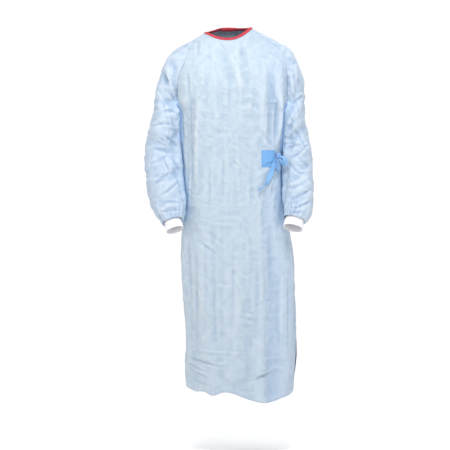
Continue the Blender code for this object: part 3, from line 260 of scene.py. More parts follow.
# The finer creases, in the same columns: half is the trough's half width, with a soft shoulder beside it
CREASES = in_metres(
    ("front", "body", (
        (190, -225, 187, -325, 177, -446, 9, 8.2), (172, -229, 170, -335, 164, -439, 7, -9.5),
        (197, -271, 195, -357, 188, -435, 5.5, -5.5), (-125, -229, -130, -435, -127, -663, 5, 3),
        (-139, -257, -144, -435, -143, -656, 7, -3), (181, -499, 199, -613, 220, -777, 9, -4.5),
        (163, -513, 156, -631, 170, -791, 10, 3), (135, -542, 121, -631, 121, -748, 10, -3.5),
        (-118, -748, -64, -791, -15, -816, 6, -1.4), (-10, -52, 12, -93, 40, -140, 10, -3.4),
        (58, -51, 56, -93, 66, -150, 8.5, -3), (-37, -40, -8, -77, 12, -133, 8, -3),
        (50, -47, 49, -86, 45, -130, 8, -3), (-107, -35, -108, -65, -109, -97, 6, -2.5),
        (-72, -50, -61, -94, -65, -144, 7, -1.8), (-137, -241, -131, -432, -130, -720, 7, -4),
        (-113, -252, -112, -468, -112, -691, 8, 2.5), (162, -252, 173, -367, 179, -428, 7, -4),
        (198, -108, 197, -252, 184, -432, 8, 1.4), (-83, -144, -76, -252, -79, -353, 7, -1.8),
        (-43, -162, -50, -252, -40, -346, 7, 1.6), (0, -151, 7, -245, 0, -331, 7, -2),
        (43, -158, 47, -266, 40, -367, 8, 1.6), (86, -130, 94, -238, 83, -353, 8, -2.2),
        (122, -194, 126, -295, 119, -396, 7, 1.8), (-65, -353, -40, -374, -18, -385, 5, -2.2),
        (-32, -349, -14, -364, 11, -367, 5, 1.6), (-83, -382, -58, -400, -32, -403, 5, -1.8),
        (43, -389, 68, -403, 101, -400, 5, -1.8), (-22, -432, -14, -540, -25, -630, 8, -2),
        (36, -418, 29, -526, 43, -626, 8, 1.8), (79, -454, 86, -554, 76, -662, 9, -2.2),
        (-68, -461, -61, -576, -72, -691, 8, -2), (97, -418, 137, -432, 173, -450, 6, -2.6),
        (86, -511, 130, -497, 169, -472, 7, -3), (122, -576, 151, -536, 176, -486, 7, 2.6),
        (144, -626, 162, -554, 184, -493, 7, -3.2), (101, -360, 140, -400, 173, -439, 6, -2.6),
        (-113, -752, -65, -785, -19, -817, 6, -1.8), (-101, -713, -50, -742, -7, -778, 6, -2),
        (-79, -691, -22, -706, 43, -698, 6, 1.6), (140, -702, 149, -835, 151, -972, 11, -3.5),
        (191, -857, 191, -990, 187, -1150, 8, 5.2), (212, -835, 213, -1008, 209, -1180, 8, -5.2),
        (85, -989, 122, -972, 162, -960, 5, -3), (14, -1015, 58, -1030, 108, -1044, 5, -2.4),
        (29, -1037, 65, -1051, 97, -1048, 5, 2), (43, -1001, 72, -1008, 101, -1019, 4, -2),
        (60, -1252, 110, -1230, 175, -1200, 5, 4.5), (72, -1256, 122, -1238, 166, -1215, 5, -3.2),
        (-165, -1172, -110, -1198, -49, -1223, 5, 4), (-144, -1202, -90, -1224, -58, -1242, 6, 2.8),
        (-83, -738, -76, -936, -86, -1152, 10, -2.4), (-36, -756, -43, -972, -29, -1188, 11, 2.4),
        (14, -738, 22, -936, 11, -1134, 10, -2.2), (65, -727, 68, -864, 61, -972, 9, 2),
        (104, -756, 108, -900, 101, -1051, 9, -2.4), (-115, -828, -108, -1008, -115, -1206, 10, -2.8),
        (-7, -1134, 36, -1152, 79, -1141, 5, -1.8), (-158, -1163, -105, -1190, 14, -1206, 4.2, -4),
        (-139, -1239, -95, -1264, -36, -1273, 4.5, -2.6), (45, -1262, 100, -1240, 150, -1222, 4.5, -4),
        (-150, -1140, -40, -1150, 110, -1152, 4, 2.4), (25, -1286, 70, -1279, 115, -1290, 4, -2.2),
        (-64, -899, -22, -913, 21, -906, 4, -1.8), (30, -870, 68, -888, 90, -913, 4, 1.6),
        (-95, -620, -60, -634, -20, -630, 4, -1.8), (10, -566, 40, -584, 75, -588, 4, 1.6),
        (-100, -300, -85, -325, -60, -342, 4, -1.8), (60, -205, 80, -230, 110, -244, 4, 1.6),
        (-30, -215, -12, -228, 16, -231, 4, -1.6), (-72, -1080, -29, -1094, 7, -1080, 5, -1.6),
        (-143, -143, -141, -200, -136, -257, 6, -4.8), (149, -186, 157, -236, 163, -286, 6, -4.8),
    )),
    ("front", "right", (
        (-235, -143, -214, -205, -188, -268, 7, -7), (-262, -190, -240, -240, -205, -292, 6, -5),
    )),
    ("front", "left", (
        (232, -130, 246, -190, 238, -262, 7, -6),
    )),
    ("front", "right", (
        (-224, -216, -197, -243, -174, -290, 6.5, -6.5), (-189, -208, -178, -229, -166, -258, 5, -5),
        (-285, -423, -231, -442, -155, -450, 6, -5.5), (-238, -377, -196, -401, -167, -438, 6, -5.5),
        (-205, -454, -181, -489, -166, -530, 6, -5.5), (-273, -565, -239, -530, -178, -507, 7, -6),
        (-262, -611, -212, -591, -163, -535, 6.5, -5.8), (-250, -634, -201, -604, -151, -630, 6, -5.5),
        (-243, -661, -201, -642, -154, -653, 5.5, -5.5), (-258, -304, -216, -281, -174, -311, 6, -5),
        (-281, -358, -231, -331, -166, -358, 7, -5.5), (-288, -488, -246, -473, -212, -450, 6, -4.5),
        (-235, -443, -224, -488, -197, -534, 6, -5), (-244, -240, -222, -275, -215, -333, 7, -4.5),
        (-208, -318, -187, -361, -179, -419, 6, -4.5),
    )),
    ("front", "left", (
        (214, -280, 247, -258, 279, -225, 6, -5.5), (207, -353, 234, -297, 260, -266, 6, 5),
        (199, -392, 214, -358, 236, -324, 6.5, -6.5), (211, -469, 264, -444, 298, -404, 7, -9.5),
        (199, -432, 241, -410, 290, -422, 6, -5), (218, -477, 230, -522, 283, -525, 6, -6),
        (199, -573, 256, -567, 302, -526, 7, -7.5), (207, -611, 264, -605, 306, -565, 6.5, -6),
        (214, -649, 260, -634, 302, -611, 6, -6), (207, -665, 233, -650, 290, -665, 5, -4.5),
        (229, -361, 264, -392, 286, -438, 6.5, -5.5), (172, -118, 215, -175, 222, -254, 8, -4.5),
        (243, -455, 272, -483, 297, -498, 6, -4.5), (222, -225, 251, -283, 269, -354, 7, -4),
    )),
    ("back", "body", (
        (-86, -110, -70, -200, -74, -340, 9, -3.4), (-24, -90, -30, -200, -16, -360, 9, 2.2),
        (30, -100, 44, -220, 34, -360, 10, -2.6), (100, -130, 120, -240, 110, -380, 9, 2.8),
        (-140, -260, -126, -400, -130, -560, 9, -3.6), (70, -330, 82, -450, 70, -600, 10, -2.8),
        (150, -380, 110, -425, 60, -450, 7, -3.4), (140, -530, 100, -500, 40, -485, 7, -3),
        (-70, -480, -80, -640, -70, -820, 10, 3), (0, -500, 10, -700, -4, -930, 11, -3),
        (100, -620, 110, -820, 96, -1080, 10, -3.6), (176, -700, 182, -900, 172, -1150, 10, 3.4),
        (-130, -760, -124, -950, -134, -1200, 10, -3.2), (-60, -900, -52, -1060, -66, -1260, 10, -2.8),
        (36, -960, 44, -1100, 34, -1270, 10, 3), (-100, -900, -40, -926, 10, -922, 6, -2.6),
        (40, -800, 90, -824, 140, -815, 6, -2.6), (-110, -1130, -60, -1150, -10, -1140, 6, -2.4),
    )),
    ("left", "body", (
        (10, -500, 16, -660, 6, -860, 9, -3.4), (-80, -560, -72, -760, -84, -1000, 9, 3),
        (90, -620, 98, -840, 86, -1100, 9, -3.4), (-60, -640, -10, -560, 40, -500, 7, -3),
        (0, -900, 10, -1060, 0, -1240, 10, 2.8),
    )),
    ("right", "body", (
        (-10, -480, -16, -660, -8, -860, 9, 3.2), (70, -520, 78, -720, 66, -960, 9, -3.4),
        (-90, -700, -96, -900, -86, -1120, 9, -3.4), (10, -900, 4, -1060, 14, -1230, 10, -3),
    )),
    ("back", "right", (
        (-262, -330, -226, -352, -190, -346, 8, -4), (-276, -446, -236, -474, -186, -462, 8, -4),
        (-270, -560, -230, -580, -176, -566, 8, 3.4), (-256, -612, -220, -628, -172, -612, 7, -3.6),
        (-214, -150, -206, -220, -184, -290, 8, 3.4),
    )),
    ("back", "left", (
        (276, -320, 246, -345, 216, -340, 8, -4), (290, -446, 256, -478, 214, -466, 8, -4),
        (296, -570, 262, -594, 214, -580, 8, 3.4), (292, -622, 256, -638, 214, -626, 7, -3.6),
        (240, -150, 232, -220, 212, -290, 8, 3.4),
    )),
    ("left", "left", (
        (-60, -420, 0, -460, 50, -440, 8, -4), (-70, -520, -10, -560, 30, -530, 8, -4),
        (50, -340, 10, -372, -40, -360, 8, 3.4), (-110, -600, -70, -622, -30, -600, 7, -3.6),
        (-30, -110, -26, -190, -40, -290, 9, -3.4), (36, -130, 40, -210, 30, -310, 9, 3.4),
    )),
    ("right", "right", (
        (-50, -430, 0, -468, 46, -446, 8, -4), (-60, -520, -16, -556, 30, -536, 8, -4),
        (50, -346, 10, -376, -40, -364, 8, 3.4), (-100, -600, -60, -626, -24, -604, 7, -3.6),
        (-34, -120, -30, -200, -44, -290, 9, -3.4), (30, -130, 36, -210, 26, -310, 9, 3.4),
    )),
)
FOLD_DEPTH = 0.7
CREASE_DEPTH = {"body": 1.2, "right": 1.0, "left": 1.0}
FOLD_REACH = 3.0  # a crease's shoulder ends this many half widths out

# Faint lines where the cloth was folded in its pack: levels, and one upright line down the middle
PACK_LINES = {"levels": (-0.374, -0.634, -0.817, -1.015, -1.177), "x": -0.010, "half": 0.004, "rise": 0.0008}

# Uneven ripples all over: wave length in x and y, wave length in z, height, and how sharp their crests are
RIPPLES = {
    "body": ((0.120, 0.160, 0.0018, 0), (0.044, 0.060, 0.0012, 1), (0.026, 0.028, 0.0011, 1)),
    "sleeve": ((0.100, 0.075, 0.0026, 0), (0.052, 0.038, 0.0023, 1), (0.026, 0.020, 0.0012, 1)),
}
RIPPLE_SEED = 41
# How the hollows for the painted shade and the crests for the painted highlight are found: smoothing steps,
# and the depths that give the full tone, near and wider
HOLLOW_STEPS = (8, 40)
HOLLOW_DEPTHS = {"body": (0.0030, 0.0160), "sleeve": (0.0019, 0.0080)}
CLEAR_OF_OTHER = 0.010  # ripples fade where body and sleeve come this close
SHARE_STEPS = 26  # how softly a part's folds run out across a seam
NECK_PLAIN = 0.9  # levels of the yoke below the neckline over which the creases begin

# Painted shade and painted light where body and sleeve lie close, up to a little above the armpits: the
# cloth's colour turned a darker blue there, and an emission added, stronger near the armpits
VALLEY_REACH = 0.032
VALLEY_ABOVE = 0.05
VALLEY_SHADE = (0.40, 0.54, 0.70)
VALLEY_GLOW = (0.020, 0.044, 0.078)
ARMPIT_GLOW = (0.15, 0.19, 0.25)
GLOW_HEIGHTS = (-0.46, -0.33)  # between the lower glow and the armpits'

# Colours by which the cloth's own is multiplied as painted shade: in its hollows, and towards the wearer's
# left
HOLLOW_SHADE = (0.66, 0.77, 0.90)
# Painted shade towards the wearer's left, the side in shade: its colour for body and sleeves, and the x over
# which it comes in
SIDE_SHADES = {"body": (0.955, 0.985, 1.05), "sleeve": (1.0, 1.0, 1.0)}
SIDE_SHADE_FROM = (0.06, 0.19)

# How far the gap between body and sleeve turns from the straight view, and the heights where it does
GAP = {"turn": 0.20, "reach": 0.05, "off": 0.003, "top": -0.258, "start": 0.04, "low": -0.70, "end": 0.10}
# How the sleeve lies against the body, and the room that it leaves there for the belt
BESIDE_BODY = {
    "clear": 0.0010, "reach": 0.036, "press": 1.4, "start": 0.03, "low": -0.655, "end": 0.06,
    "belt": 0.0085, "belt_half": 0.02,
}

KNOT = {
    "x": 0.170, "z": -0.457, "out": 0.0115, "half": (0.0085, 0.0080, 0.0105), "segments": 64, "rings": 44,
}
LOOP_SIDE = (
    (0.1815, -0.4590, 0.011), (0.1890, -0.4615, 0.014), (0.1970, -0.4655, 0.017), (0.2035, -0.4735, 0.018),
    (0.2025, -0.4835, 0.017), (0.1965, -0.4870, 0.017), (0.1895, -0.4790, 0.017), (0.1845, -0.4650, 0.014),
)
LOOP_LOW = (
    (0.1765, -0.4680, 0.012), (0.1742, -0.4850, 0.016), (0.1728, -0.5000, 0.017), (0.1740, -0.5110, 0.017),
    (0.1775, -0.5125, 0.017), (0.1803, -0.5030, 0.016), (0.1802, -0.4870, 0.014), (0.1787, -0.4700, 0.011),
)
TAIL = (
    (0.1686, -0.4668, 0.0064), (0.162, -0.479, 0.0048), (0.157, -0.496, 0.0046), (0.151, -0.515, 0.0036),
    (0.1425, -0.537, 0.0034), (0.1325, -0.556, 0.0044), (0.1205, -0.571, 0.0052), (0.105, -0.584, 0.0040),
)
TAIL_TWIST = 1.25
BELT = {
    "z": -0.456, "start": 137, "end": 61.9, "count": 130, "half": 0.0085,
    "clear": 0.0011, "step": math.radians(14),
}
BELT_RISE = {"lift": 0.0047, "turn": math.radians(9)}

SIDES = {"front": (0, -1), "back": (0, 1), "left": (1, 0), "right": (-1, 0)}
PANELS = ("front", "back_right", "back_left", "sleeve_right", "sleeve_left")
CUFF_RIBS = 60

# Camera: level with the middle of the gown, far off, as in the photograph
CAMERA = {"place": (-0.011, -6.58, -0.702), "lens": 146.3, "sensor": 36.0}
FLOOR_Z = -1.515

# Each light: its place, the spot that it faces, its width and its colour
LIGHTS = {
    "key": ((-0.1, -2.35, 2.0), (0, 0, -0.4), 1.2, (1, 1, 1)),
    "rake": ((-3.4, -1.2, -0.1), (0, 0, -0.6), 1.2, (0.93, 0.97, 1.0)),
    "fill": ((3.0, -3.0, 0.6), (0, 0, -0.5), 2.2, (0.74, 0.87, 1.0)),
    "rear": ((0.8, 4.0, 1.6), (0, 0, -0.6), 2.5, (1, 1, 1)),
    "overhead": ((0, 0, 4.2), (0, 0, 0), 9.0, (1, 1, 1)),
}


def ease(x):
    """0 below 0 and 1 above 1, with a soft start and end."""
    x = np.clip(x, 0, 1)
    return x * x * (3 - 2 * x)


def unit(v):
    return v / np.maximum(np.linalg.norm(v, axis=-1, keepdims=True), 1e-12)


def read(table, columns, at):
    """Every column of a table at the values of its first column, on a smooth curve through the rows."""
    rows = np.array(table, float)
    key, value = rows[:, 0], rows[:, 1:]
    at = np.clip(np.asarray(at, float), key[0], key[-1])
    slope = np.gradient(value, key, axis=0)
    i = np.clip(np.searchsorted(key, at, side="right") - 1, 0, len(key) - 2)
    span = (key[i + 1] - key[i])[..., None]
    f = (at - key[i])[..., None] / span
    start, end = value[i], value[i + 1]
    curve = (
        start * (1 + 2 * f) * (1 - f) ** 2
        + end * f * f * (3 - 2 * f)
        + slope[i] * span * f * (1 - f) ** 2
        - slope[i + 1] * span * f * f * (1 - f)
    )
    return {name: curve[..., k] for k, name in enumerate(columns[1:])}


def oval(x_low, x_high, y_front, y_back, power, angle, lift=0.0):
    """x and y on a rounded oval. Angle 0 is its front and a quarter turn the wearer's left."""
    s, c = np.sin(angle), np.cos(angle)
    reach = (np.abs(s) ** power + np.abs(c) ** power) ** (-1 / power)
    x = (x_low + x_high) / 2 + ((x_high - x_low) / 2 + lift) * s * reach
    y = (y_front + y_back) / 2 - ((y_back - y_front) / 2 + lift) * c * reach
    return x, y


def angle_at(x, x_low, x_high, power):
    """The angle from the oval's front, or from its back, where it has this x."""
    share = (x - (x_low + x_high) / 2) / ((x_high - x_low) / 2)
    part = np.clip(np.abs(share), 0, 0.999) ** power
    return np.sign(share) * np.arctan((part / (1 - part)) ** (1 / power))


def yoke_point(level, angle, lift=0.0):
    """A point of the yoke on its ring at that level, before it is drawn in at the armpits."""
    ring = read(YOKE, YOKE_COLUMNS, level)
    x, y = oval(ring["x_right"], ring["x_left"], ring["y_front"], ring["y_back"], ring["power"], angle, lift)
    s, c = np.sin(angle), np.cos(angle)
    side = np.where(s > 0, ring["z_left"], ring["z_right"])
    end = np.where(c > 0, ring["z_front"], ring["z_back"])
    up = lift * (1 - ease(level / SLOPING_LEVELS))
    return np.stack([x, y, side * s * s + end * c * c + up], -1)


def body_point(drop, angle, lift=0.0):
    """A point of the body's tube, at that distance below the shoulders."""
    ring = read(BODY, BODY_COLUMNS, drop)
    x, y = oval(ring["x_right"], ring["x_left"], ring["y_front"], ring["y_back"], ring["power"], angle, lift)
    return np.stack([x, y, -drop + 0 * x], -1)


def raglan_angles(seam, ring):
    """The angles where the raglan seams cross a ring."""
    found = {}
    for name in ("front_right", "front_left", "back_right", "back_left"):
        turn = angle_at(seam[name], ring["x_right"], ring["x_left"], ring["power"])
        found[name] = turn if name.startswith("front") else math.pi - turn
    return found


def seam_angles(level):
    """The angles where the raglan seams and the two back edges cross the yoke's ring at that level."""
    seam = read(SEAMS, SEAM_COLUMNS, level)
    edges = {name: np.radians(seam[name]) for name in ("wrap_edge", "under_edge")}
    return raglan_angles(seam, read(YOKE, YOKE_COLUMNS, level)) | edges


def parting_angles():
    """The angles on the body's top ring where body and sleeve part."""
    seam = dict(zip(SEAM_COLUMNS, SEAMS[-1], strict=True))
    return raglan_angles(seam, dict(zip(BODY_COLUMNS, BODY[0], strict=True)))


def lap_lift(angle, under_edge):
    """The wrap-over back's lift: full where the other back is under it."""
    return LAP_LIFT * ease((under_edge + LAP_START - angle) / LAP_EASE)


def lying_close(edge, z):
    """The share of the lap's lift left near its free edge, which stands open only low on the skirt."""
    low = np.exp(-(((z - LAP_OPEN["z"]) / LAP_OPEN["half"]) ** 2))
    open_share = LAP_OPEN["share"] + LAP_OPEN["low"] * low
    return open_share + (1 - open_share) * ease(edge / LAP_OPEN["edge"])


def drawn_in(level):
    """How far the yoke has been drawn in to the outline that body and sleeves have at the armpits."""
    return ease((level - DRAWN_FROM) / (YOKE_LEVELS - DRAWN_FROM))[..., None]


def raised(points, level):
    """The armpits' outline carried up to a level above it, for the yoke to run into."""
    above = (YOKE_LEVELS - level) * LEVEL_RISE
    return points + np.array([0, 0, 1]) * above[..., None]


def between(start, end, share):
    """Column values from start to end, for each row where those are arrays."""
    start, end = np.asarray(start, float)[..., None], np.asarray(end, float)[..., None]
    return start + (end - start) * share


def seamed(count, both=True):
    """Even shares from 0 to 1, with closer ones beside the seam at the start, or at both ends."""
    beside = [part / count for part in BESIDE_SEAM]
    extra = beside + [1 - part for part in beside] * both
    return np.sort(np.concatenate([np.linspace(0, 1, count + 1), extra]))


def sleeve_arc(side, share):
    """The sleeve's outer arc at the armpits, from the front parting to the back one."""
    row = dict(zip(SLEEVE_COLUMNS, SLEEVES[side][0], strict=True))
    sign = 1 if side == "left" else -1
    parting = parting_angles()
    front = body_point(np.array(-ARMPIT_Z), np.array(parting["front_" + side]))
    back = body_point(np.array(-ARMPIT_Z), np.array(parting["back_" + side]))
    middle = sign * (0.5 * (abs(front[0]) + abs(back[0])) + ARC["inset"])
    turn = np.radians(ARC["start"] + ARC["sweep"] * share)
    x, y = oval(-1, 1, -1, 1, ARC["power"], turn)
    x, y = middle + (row["x_out"] - middle) * x, row["y_mid"] + row["half_depth"] * y
    arc = np.stack([x, y, ARMPIT_Z + 0 * x], -1)
    near_front, near_back = ((1 - share) ** 4)[..., None], (share**4)[..., None]
    return arc + (front - arc[0]) * near_front + (back - arc[-1]) * near_back


def marked(grid, edge=FAR, level=YOKE_LEVELS):
    """The grid's points with two marks each: how far the nearest free edge is, and the yoke's level."""
    shape = grid.shape[:2]
    marks = [np.broadcast_to(mark, shape) for mark in (edge, level)]
    return np.concatenate([grid, np.stack(marks, -1)], axis=-1)


def yoke_blocks():
    """The yoke's grids: front, both sleeves and both backs, each with its rows from the neckline down."""
    level = np.linspace(0, YOKE_LEVELS, YOKE_ROWS + 1)
    pull, rows = drawn_in(level)[:, None], level[:, None]
    top = np.array(-ARMPIT_Z)
    under, wrap = (math.radians(turn) for turn in SEAMS[-1][:-3:-1])
    seams, parting = seam_angles(level), parting_angles() | {"under_edge": under, "wrap_edge": wrap}

    def grid(name, start, end, count, lap=False):
        share = seamed(count)
        angle, last = between(seams[start], seams[end], share), between(parting[start], parting[end], share)
        close = lying_close(edge_distance(share, angle), rows * -LEVEL_RISE)
        below = -UNDER_DIP * ease((angle - seams["wrap_edge"][:, None]) / LAP_EASE)
        last_below = -UNDER_DIP * ease((last - wrap) / LAP_EASE)
        lift = lap_lift(angle, seams["under_edge"][:, None]) * close if lap else below
        last_lift = lap_lift(last, under) * close[-1:] if lap else last_below
        wide = yoke_point(rows + 0 * angle, angle, lift)
        upright = raised(body_point(top + 0 * last, last, last_lift), rows + 0 * angle)
        edge = edge_distance(share, angle) if name.startswith("back") else FAR
        return name, marked(wide * (1 - pull) + upright * pull, edge, rows)

    made = [
        grid("front", "front_right", "front_left", FRONT_COLUMNS),
        grid("back_left", "back_left", "under_edge", UNDER_COLUMNS),
        grid("back_right", "back_right", "wrap_edge", WRAP_COLUMNS, True),
    ]
    share = seamed(SLEEVE_OUT_COLUMNS)
    for side in ("right", "left"):
        front, back = seams["front_" + side], seams["back_" + side]
        back = back - 2 * math.pi if side == "right" else back
        angle = between(front, back, share)
        wide = yoke_point(rows + 0 * angle, angle)
        upright = raised(sleeve_arc(side, share), rows + 0 * angle)
        made.append(("sleeve_" + side, marked(wide * (1 - pull) + upright * pull, FAR, rows)))
    return made


def edge_distance(share, angle):
    """Roughly how far each point of a back's grid is from the free edge at its last column."""
    body_radius = 0.15
    return np.abs(angle[:, -1:] - angle[:, :1]) * (1 - share) * body_radius


def body_blocks():
    """The body's grids below the armpits, between the partings, the side seams and the back edges."""
    parting = parting_angles()
    quarter = math.pi / 2
    even = np.linspace(0, 1, BODY_ROWS + 1)[:-1, None]
    above_hem = np.array(HEM_ROWS)[:, None]
    side = seamed(SIDE_COLUMNS, both=False)

    def grid(name, start, end, share, lap=False):
        start, end = np.broadcast_to(start, height), np.broadcast_to(end, height)
        angle = between(start, end, share)
        hem = read(HEM, HEM_COLUMNS, np.degrees(angle))["drop"]
        reach = hem[: len(even)] - HEM_ROWS[0] + ARMPIT_Z
        drop = np.concatenate([-ARMPIT_Z + reach * even, hem[len(even):] - above_hem])
        under = np.radians(read(BODY, BODY_COLUMNS, drop)["under_edge"])
        close = lying_close(edge_distance(share, angle), -drop)
        wrap = np.radians(read(BODY, BODY_COLUMNS, drop)["wrap_edge"])
        lift = lap_lift(angle, under) * close if lap else -UNDER_DIP * ease((angle - wrap) / LAP_EASE)
        edge = hem - drop
        if np.ptp(end) > 0:
            edge = np.minimum(edge, edge_distance(share, angle))
        return name, marked(body_point(drop, angle, lift), np.minimum(edge, FAR))

    height = len(even) + len(above_hem)
    nominal_hem = 1.30
    reach = nominal_hem - HEM_ROWS[0] + ARMPIT_Z
    nominal = np.concatenate([-ARMPIT_Z + reach * even, nominal_hem - above_hem])[:, 0]
    edges = read(BODY, BODY_COLUMNS, nominal)
    wrap, under = np.radians(edges["wrap_edge"]), np.radians(edges["under_edge"])
    return [
        grid("front", -quarter, parting["front_right"], side),
        grid("front", parting["front_right"], parting["front_left"], seamed(FRONT_COLUMNS)),
        grid("front", parting["front_left"], quarter, 1 - side[::-1]),
        grid("back_left", quarter, parting["back_left"], side),
        grid("back_left", parting["back_left"], under, seamed(UNDER_COLUMNS)),
        grid("back_right", 3 * quarter, parting["back_right"], side, True),
        grid("back_right", parting["back_right"], wrap, seamed(WRAP_COLUMNS), True),
    ]


def ring_round(centre, along, half_out, half_deep, outward, turn, power=2.2):
    """Points round a sleeve. A turn of 0 is its front and a quarter turn its outer side."""
    across = unit(outward - along * (along @ outward))
    deep = np.cross(across, along)
    deep = deep * (1 if deep[1] < 0 else -1)
    x, y = oval(-1, 1, -1, 1, power, turn)
    return centre + np.outer(x * half_out, across) - np.outer(y * half_deep, deep)


def through_rings(keys, steps):
    """More rings between key rings, on a smooth curve through them."""
    padded = [2 * keys[0] - keys[1], *keys, 2 * keys[-1] - keys[-2]]
    rings = []
    for a, b, c, d in zip(padded, padded[1:], padded[2:], padded[3:], strict=False):
        squared, cubed = 2 * a - 5 * b + 4 * c - d, 3 * b - a - 3 * c + d
        for t in np.arange(1, steps + 1) / steps:
            rings.append(0.5 * (2 * b + (c - a) * t + squared * t**2 + cubed * t**3))
    return rings


def sleeve_rings(side):
    """The sleeve's tube from the armpit to the cuff, one ring after another."""
    sign = 1 if side == "left" else -1
    outward = np.array([sign, 0.0, 0.0])
    cuff = CUFFS[side]
    share, flank = seamed(SLEEVE_OUT_COLUMNS), seamed(SIDE_COLUMNS, both=False)
    parting = parting_angles()
    back, front = parting["back_" + side], parting["front_" + side]
    back = back - 2 * math.pi if side == "right" else back
    middle = math.copysign(math.pi / 2, sign)
    to_front = between(middle, front, flank)[1:-1]
    inner = np.concatenate([between(back, middle, 1 - flank[::-1])[1:], to_front])
    top = np.concatenate([sleeve_arc(side, share), body_point(-ARMPIT_Z + 0 * inner, inner)])
    turned = SLEEVE_OUTER["start"] + SLEEVE_OUTER["sweep"]
    turn_out = np.radians(SLEEVE_OUTER["start"] + SLEEVE_OUTER["sweep"] * share)
    half_way = (turned + 360 + SLEEVE_OUTER["start"]) / 2
    inward = np.concatenate([
        between(turned, half_way, 1 - flank[::-1])[1:],
        between(half_way, 360 + SLEEVE_OUTER["start"], flank)[1:-1],
    ])
    turn = np.concatenate([turn_out, np.radians(inward)])
    last = SLEEVES[side][-1][0]
    drops = np.linspace(-ARMPIT_Z, last, SLEEVE_ROWS + 1)
    rows = read(SLEEVES[side], SLEEVE_COLUMNS, drops)
    centres = np.stack([(rows["x_out"] + rows["x_in"]) / 2, rows["y_mid"], -drops], -1)
    slopes = unit(np.gradient(centres, axis=0))
    cuff_way = unit(np.array(cuff["end"]) - np.array(cuff["top"]))
    rings = [top]
    for k in range(1, SLEEVE_ROWS + 1):
        depth = drops[k] + ARMPIT_Z
        tilt = ease(depth / TILT_DEPTH)
        along = unit(np.array([0, 0, -1]) * (1 - tilt) + slopes[k] * tilt)
        near_cuff = ease((drops[k] - last) / PARTING_DEPTH + 1)
        along = unit(along * (1 - near_cuff) + cuff_way * near_cuff)
        half_out = abs(rows["x_out"][k] - rows["x_in"][k]) / 2
        tube = ring_round(centres[k], along, half_out, rows["half_depth"][k], outward, turn)
        away = 1 - (1 - min(1.0, depth / PARTING_DEPTH)) ** PARTING_POWER
        rings.append((top - [0, 0, depth]) * (1 - away) + tube * away)
    keys = [rings[-1]]
    for reach, size in SLEEVE_END:
        centre = np.array(cuff["top"]) + cuff_way * reach
        half_out, half_deep = (h * size for h in cuff["half"])
        keys.append(ring_round(centre, cuff_way, half_out, half_deep, outward, turn))
    rings += through_rings(keys, SLEEVE_END_ROWS)
    return gathered(against_body(np.array(rings), sign), turn, -drops[-1], sign)


def gathered(rings, turn, end_z, sign):
    """The sleeve's end drawn into small uneven pleats, which run out further up the arm."""
    middles = rings.mean(axis=1, keepdims=True)
    near = ease(1 - (middles[..., 2:] - end_z) / GATHERS["reach"])
    near[-SLEEVE_END_ROWS:] *= np.linspace(1, 0.25, SLEEVE_END_ROWS)[:, None, None]
    phase = GATHERS["count"] * turn + GATHERS["drift"] * np.sin(3 * turn + sign) + sign
    size = 1 + 0.5 * np.sin(2 * turn + 2 * sign)
    pleat = (np.abs(np.sin(phase / 2)) ** 0.8 - 0.6) * size
    return rings + unit(rings - middles) * (near * pleat[None, :, None] * GATHERS["depth"] * 2)


def sleeve_blocks():
    made = []
    for side in ("right", "left"):
        rings = sleeve_rings(side)
        made.append(("sleeve_" + side, marked(np.concatenate([rings, rings[:, :1]], axis=1))))
    return made


def welded(blocks):
    """All grids as one mesh: marked points, quads, each quad's panel, and the yoke grids' first two rows."""
    points, quads, owners, tops = [], [], [], {}
    start = 0
    for name, grid in blocks:
        rows, columns = grid.shape[:2]
        index = start + np.arange(rows * columns).reshape(rows, columns)
        tops.setdefault(name, index[:2])
        corners = [index[:-1, :-1], index[1:, :-1], index[1:, 1:], index[:-1, 1:]]
        quads.append(np.stack([c.reshape(-1) for c in corners], -1))
        owners += [name] * len(quads[-1])
        points.append(grid.reshape(-1, grid.shape[-1]))
        start += rows * columns
    points, quads = np.concatenate(points), np.concatenate(quads)
    _, first, index = np.unique(np.round(points[:, :3], 6), axis=0, return_index=True, return_inverse=True)
    index = index.reshape(-1)
    return points[first], index[quads], np.array(owners), {name: index[rows] for name, rows in tops.items()}


def face_normals(points, quads):
    a, b, c, d = (points[quads[:, k]] for k in range(4))
    return np.cross(c - a, d - b)


def point_normals(points, quads):
    total = np.zeros_like(points)
    flat = face_normals(points, quads)
    for k in range(4):
        np.add.at(total, quads[:, k], flat)
    return unit(total)


def facing_out(points, quads, owners):
    """The quads with their order turned where a panel's own grid runs the other way round."""
    quads = quads.copy()
    for name in PANELS:
        mine = owners == name
        flat = face_normals(points, quads[mine])
        middle = points[quads[mine]].mean(axis=1)
        if name.startswith("sleeve"):
            axis = sleeve_axis(name.removeprefix("sleeve_"), middle[:, 2])
            hub = np.where(middle[:, 2:] < ARMPIT_Z, axis, [0, 0, ARMPIT_Z])
        else:
            hub = middle * [0, 0, 1] + [MIDDLE_X, 0, 0]
            hub[:, 2] = np.minimum(hub[:, 2], ARMPIT_Z)
        if (flat * (middle - hub)).sum() < 0:
            quads[mine] = quads[mine][:, ::-1]
    return quads


def sleeve_axis(side, z):
    rows = read(SLEEVES[side], SLEEVE_COLUMNS, -z)
    return np.stack([(rows["x_out"] + rows["x_in"]) / 2, rows["y_mid"], z], -1)


def curve_through(row):
    """The points of a fold's curve: start, bend and end as a smooth bow."""
    t = np.linspace(0, 1, 15)[:, None]
    a, b, c = (np.array([row["a" + k], row["z" + k]]) for k in "012")
    return a * (1 - t) ** 2 + b * 2 * t * (1 - t) + c * t * t


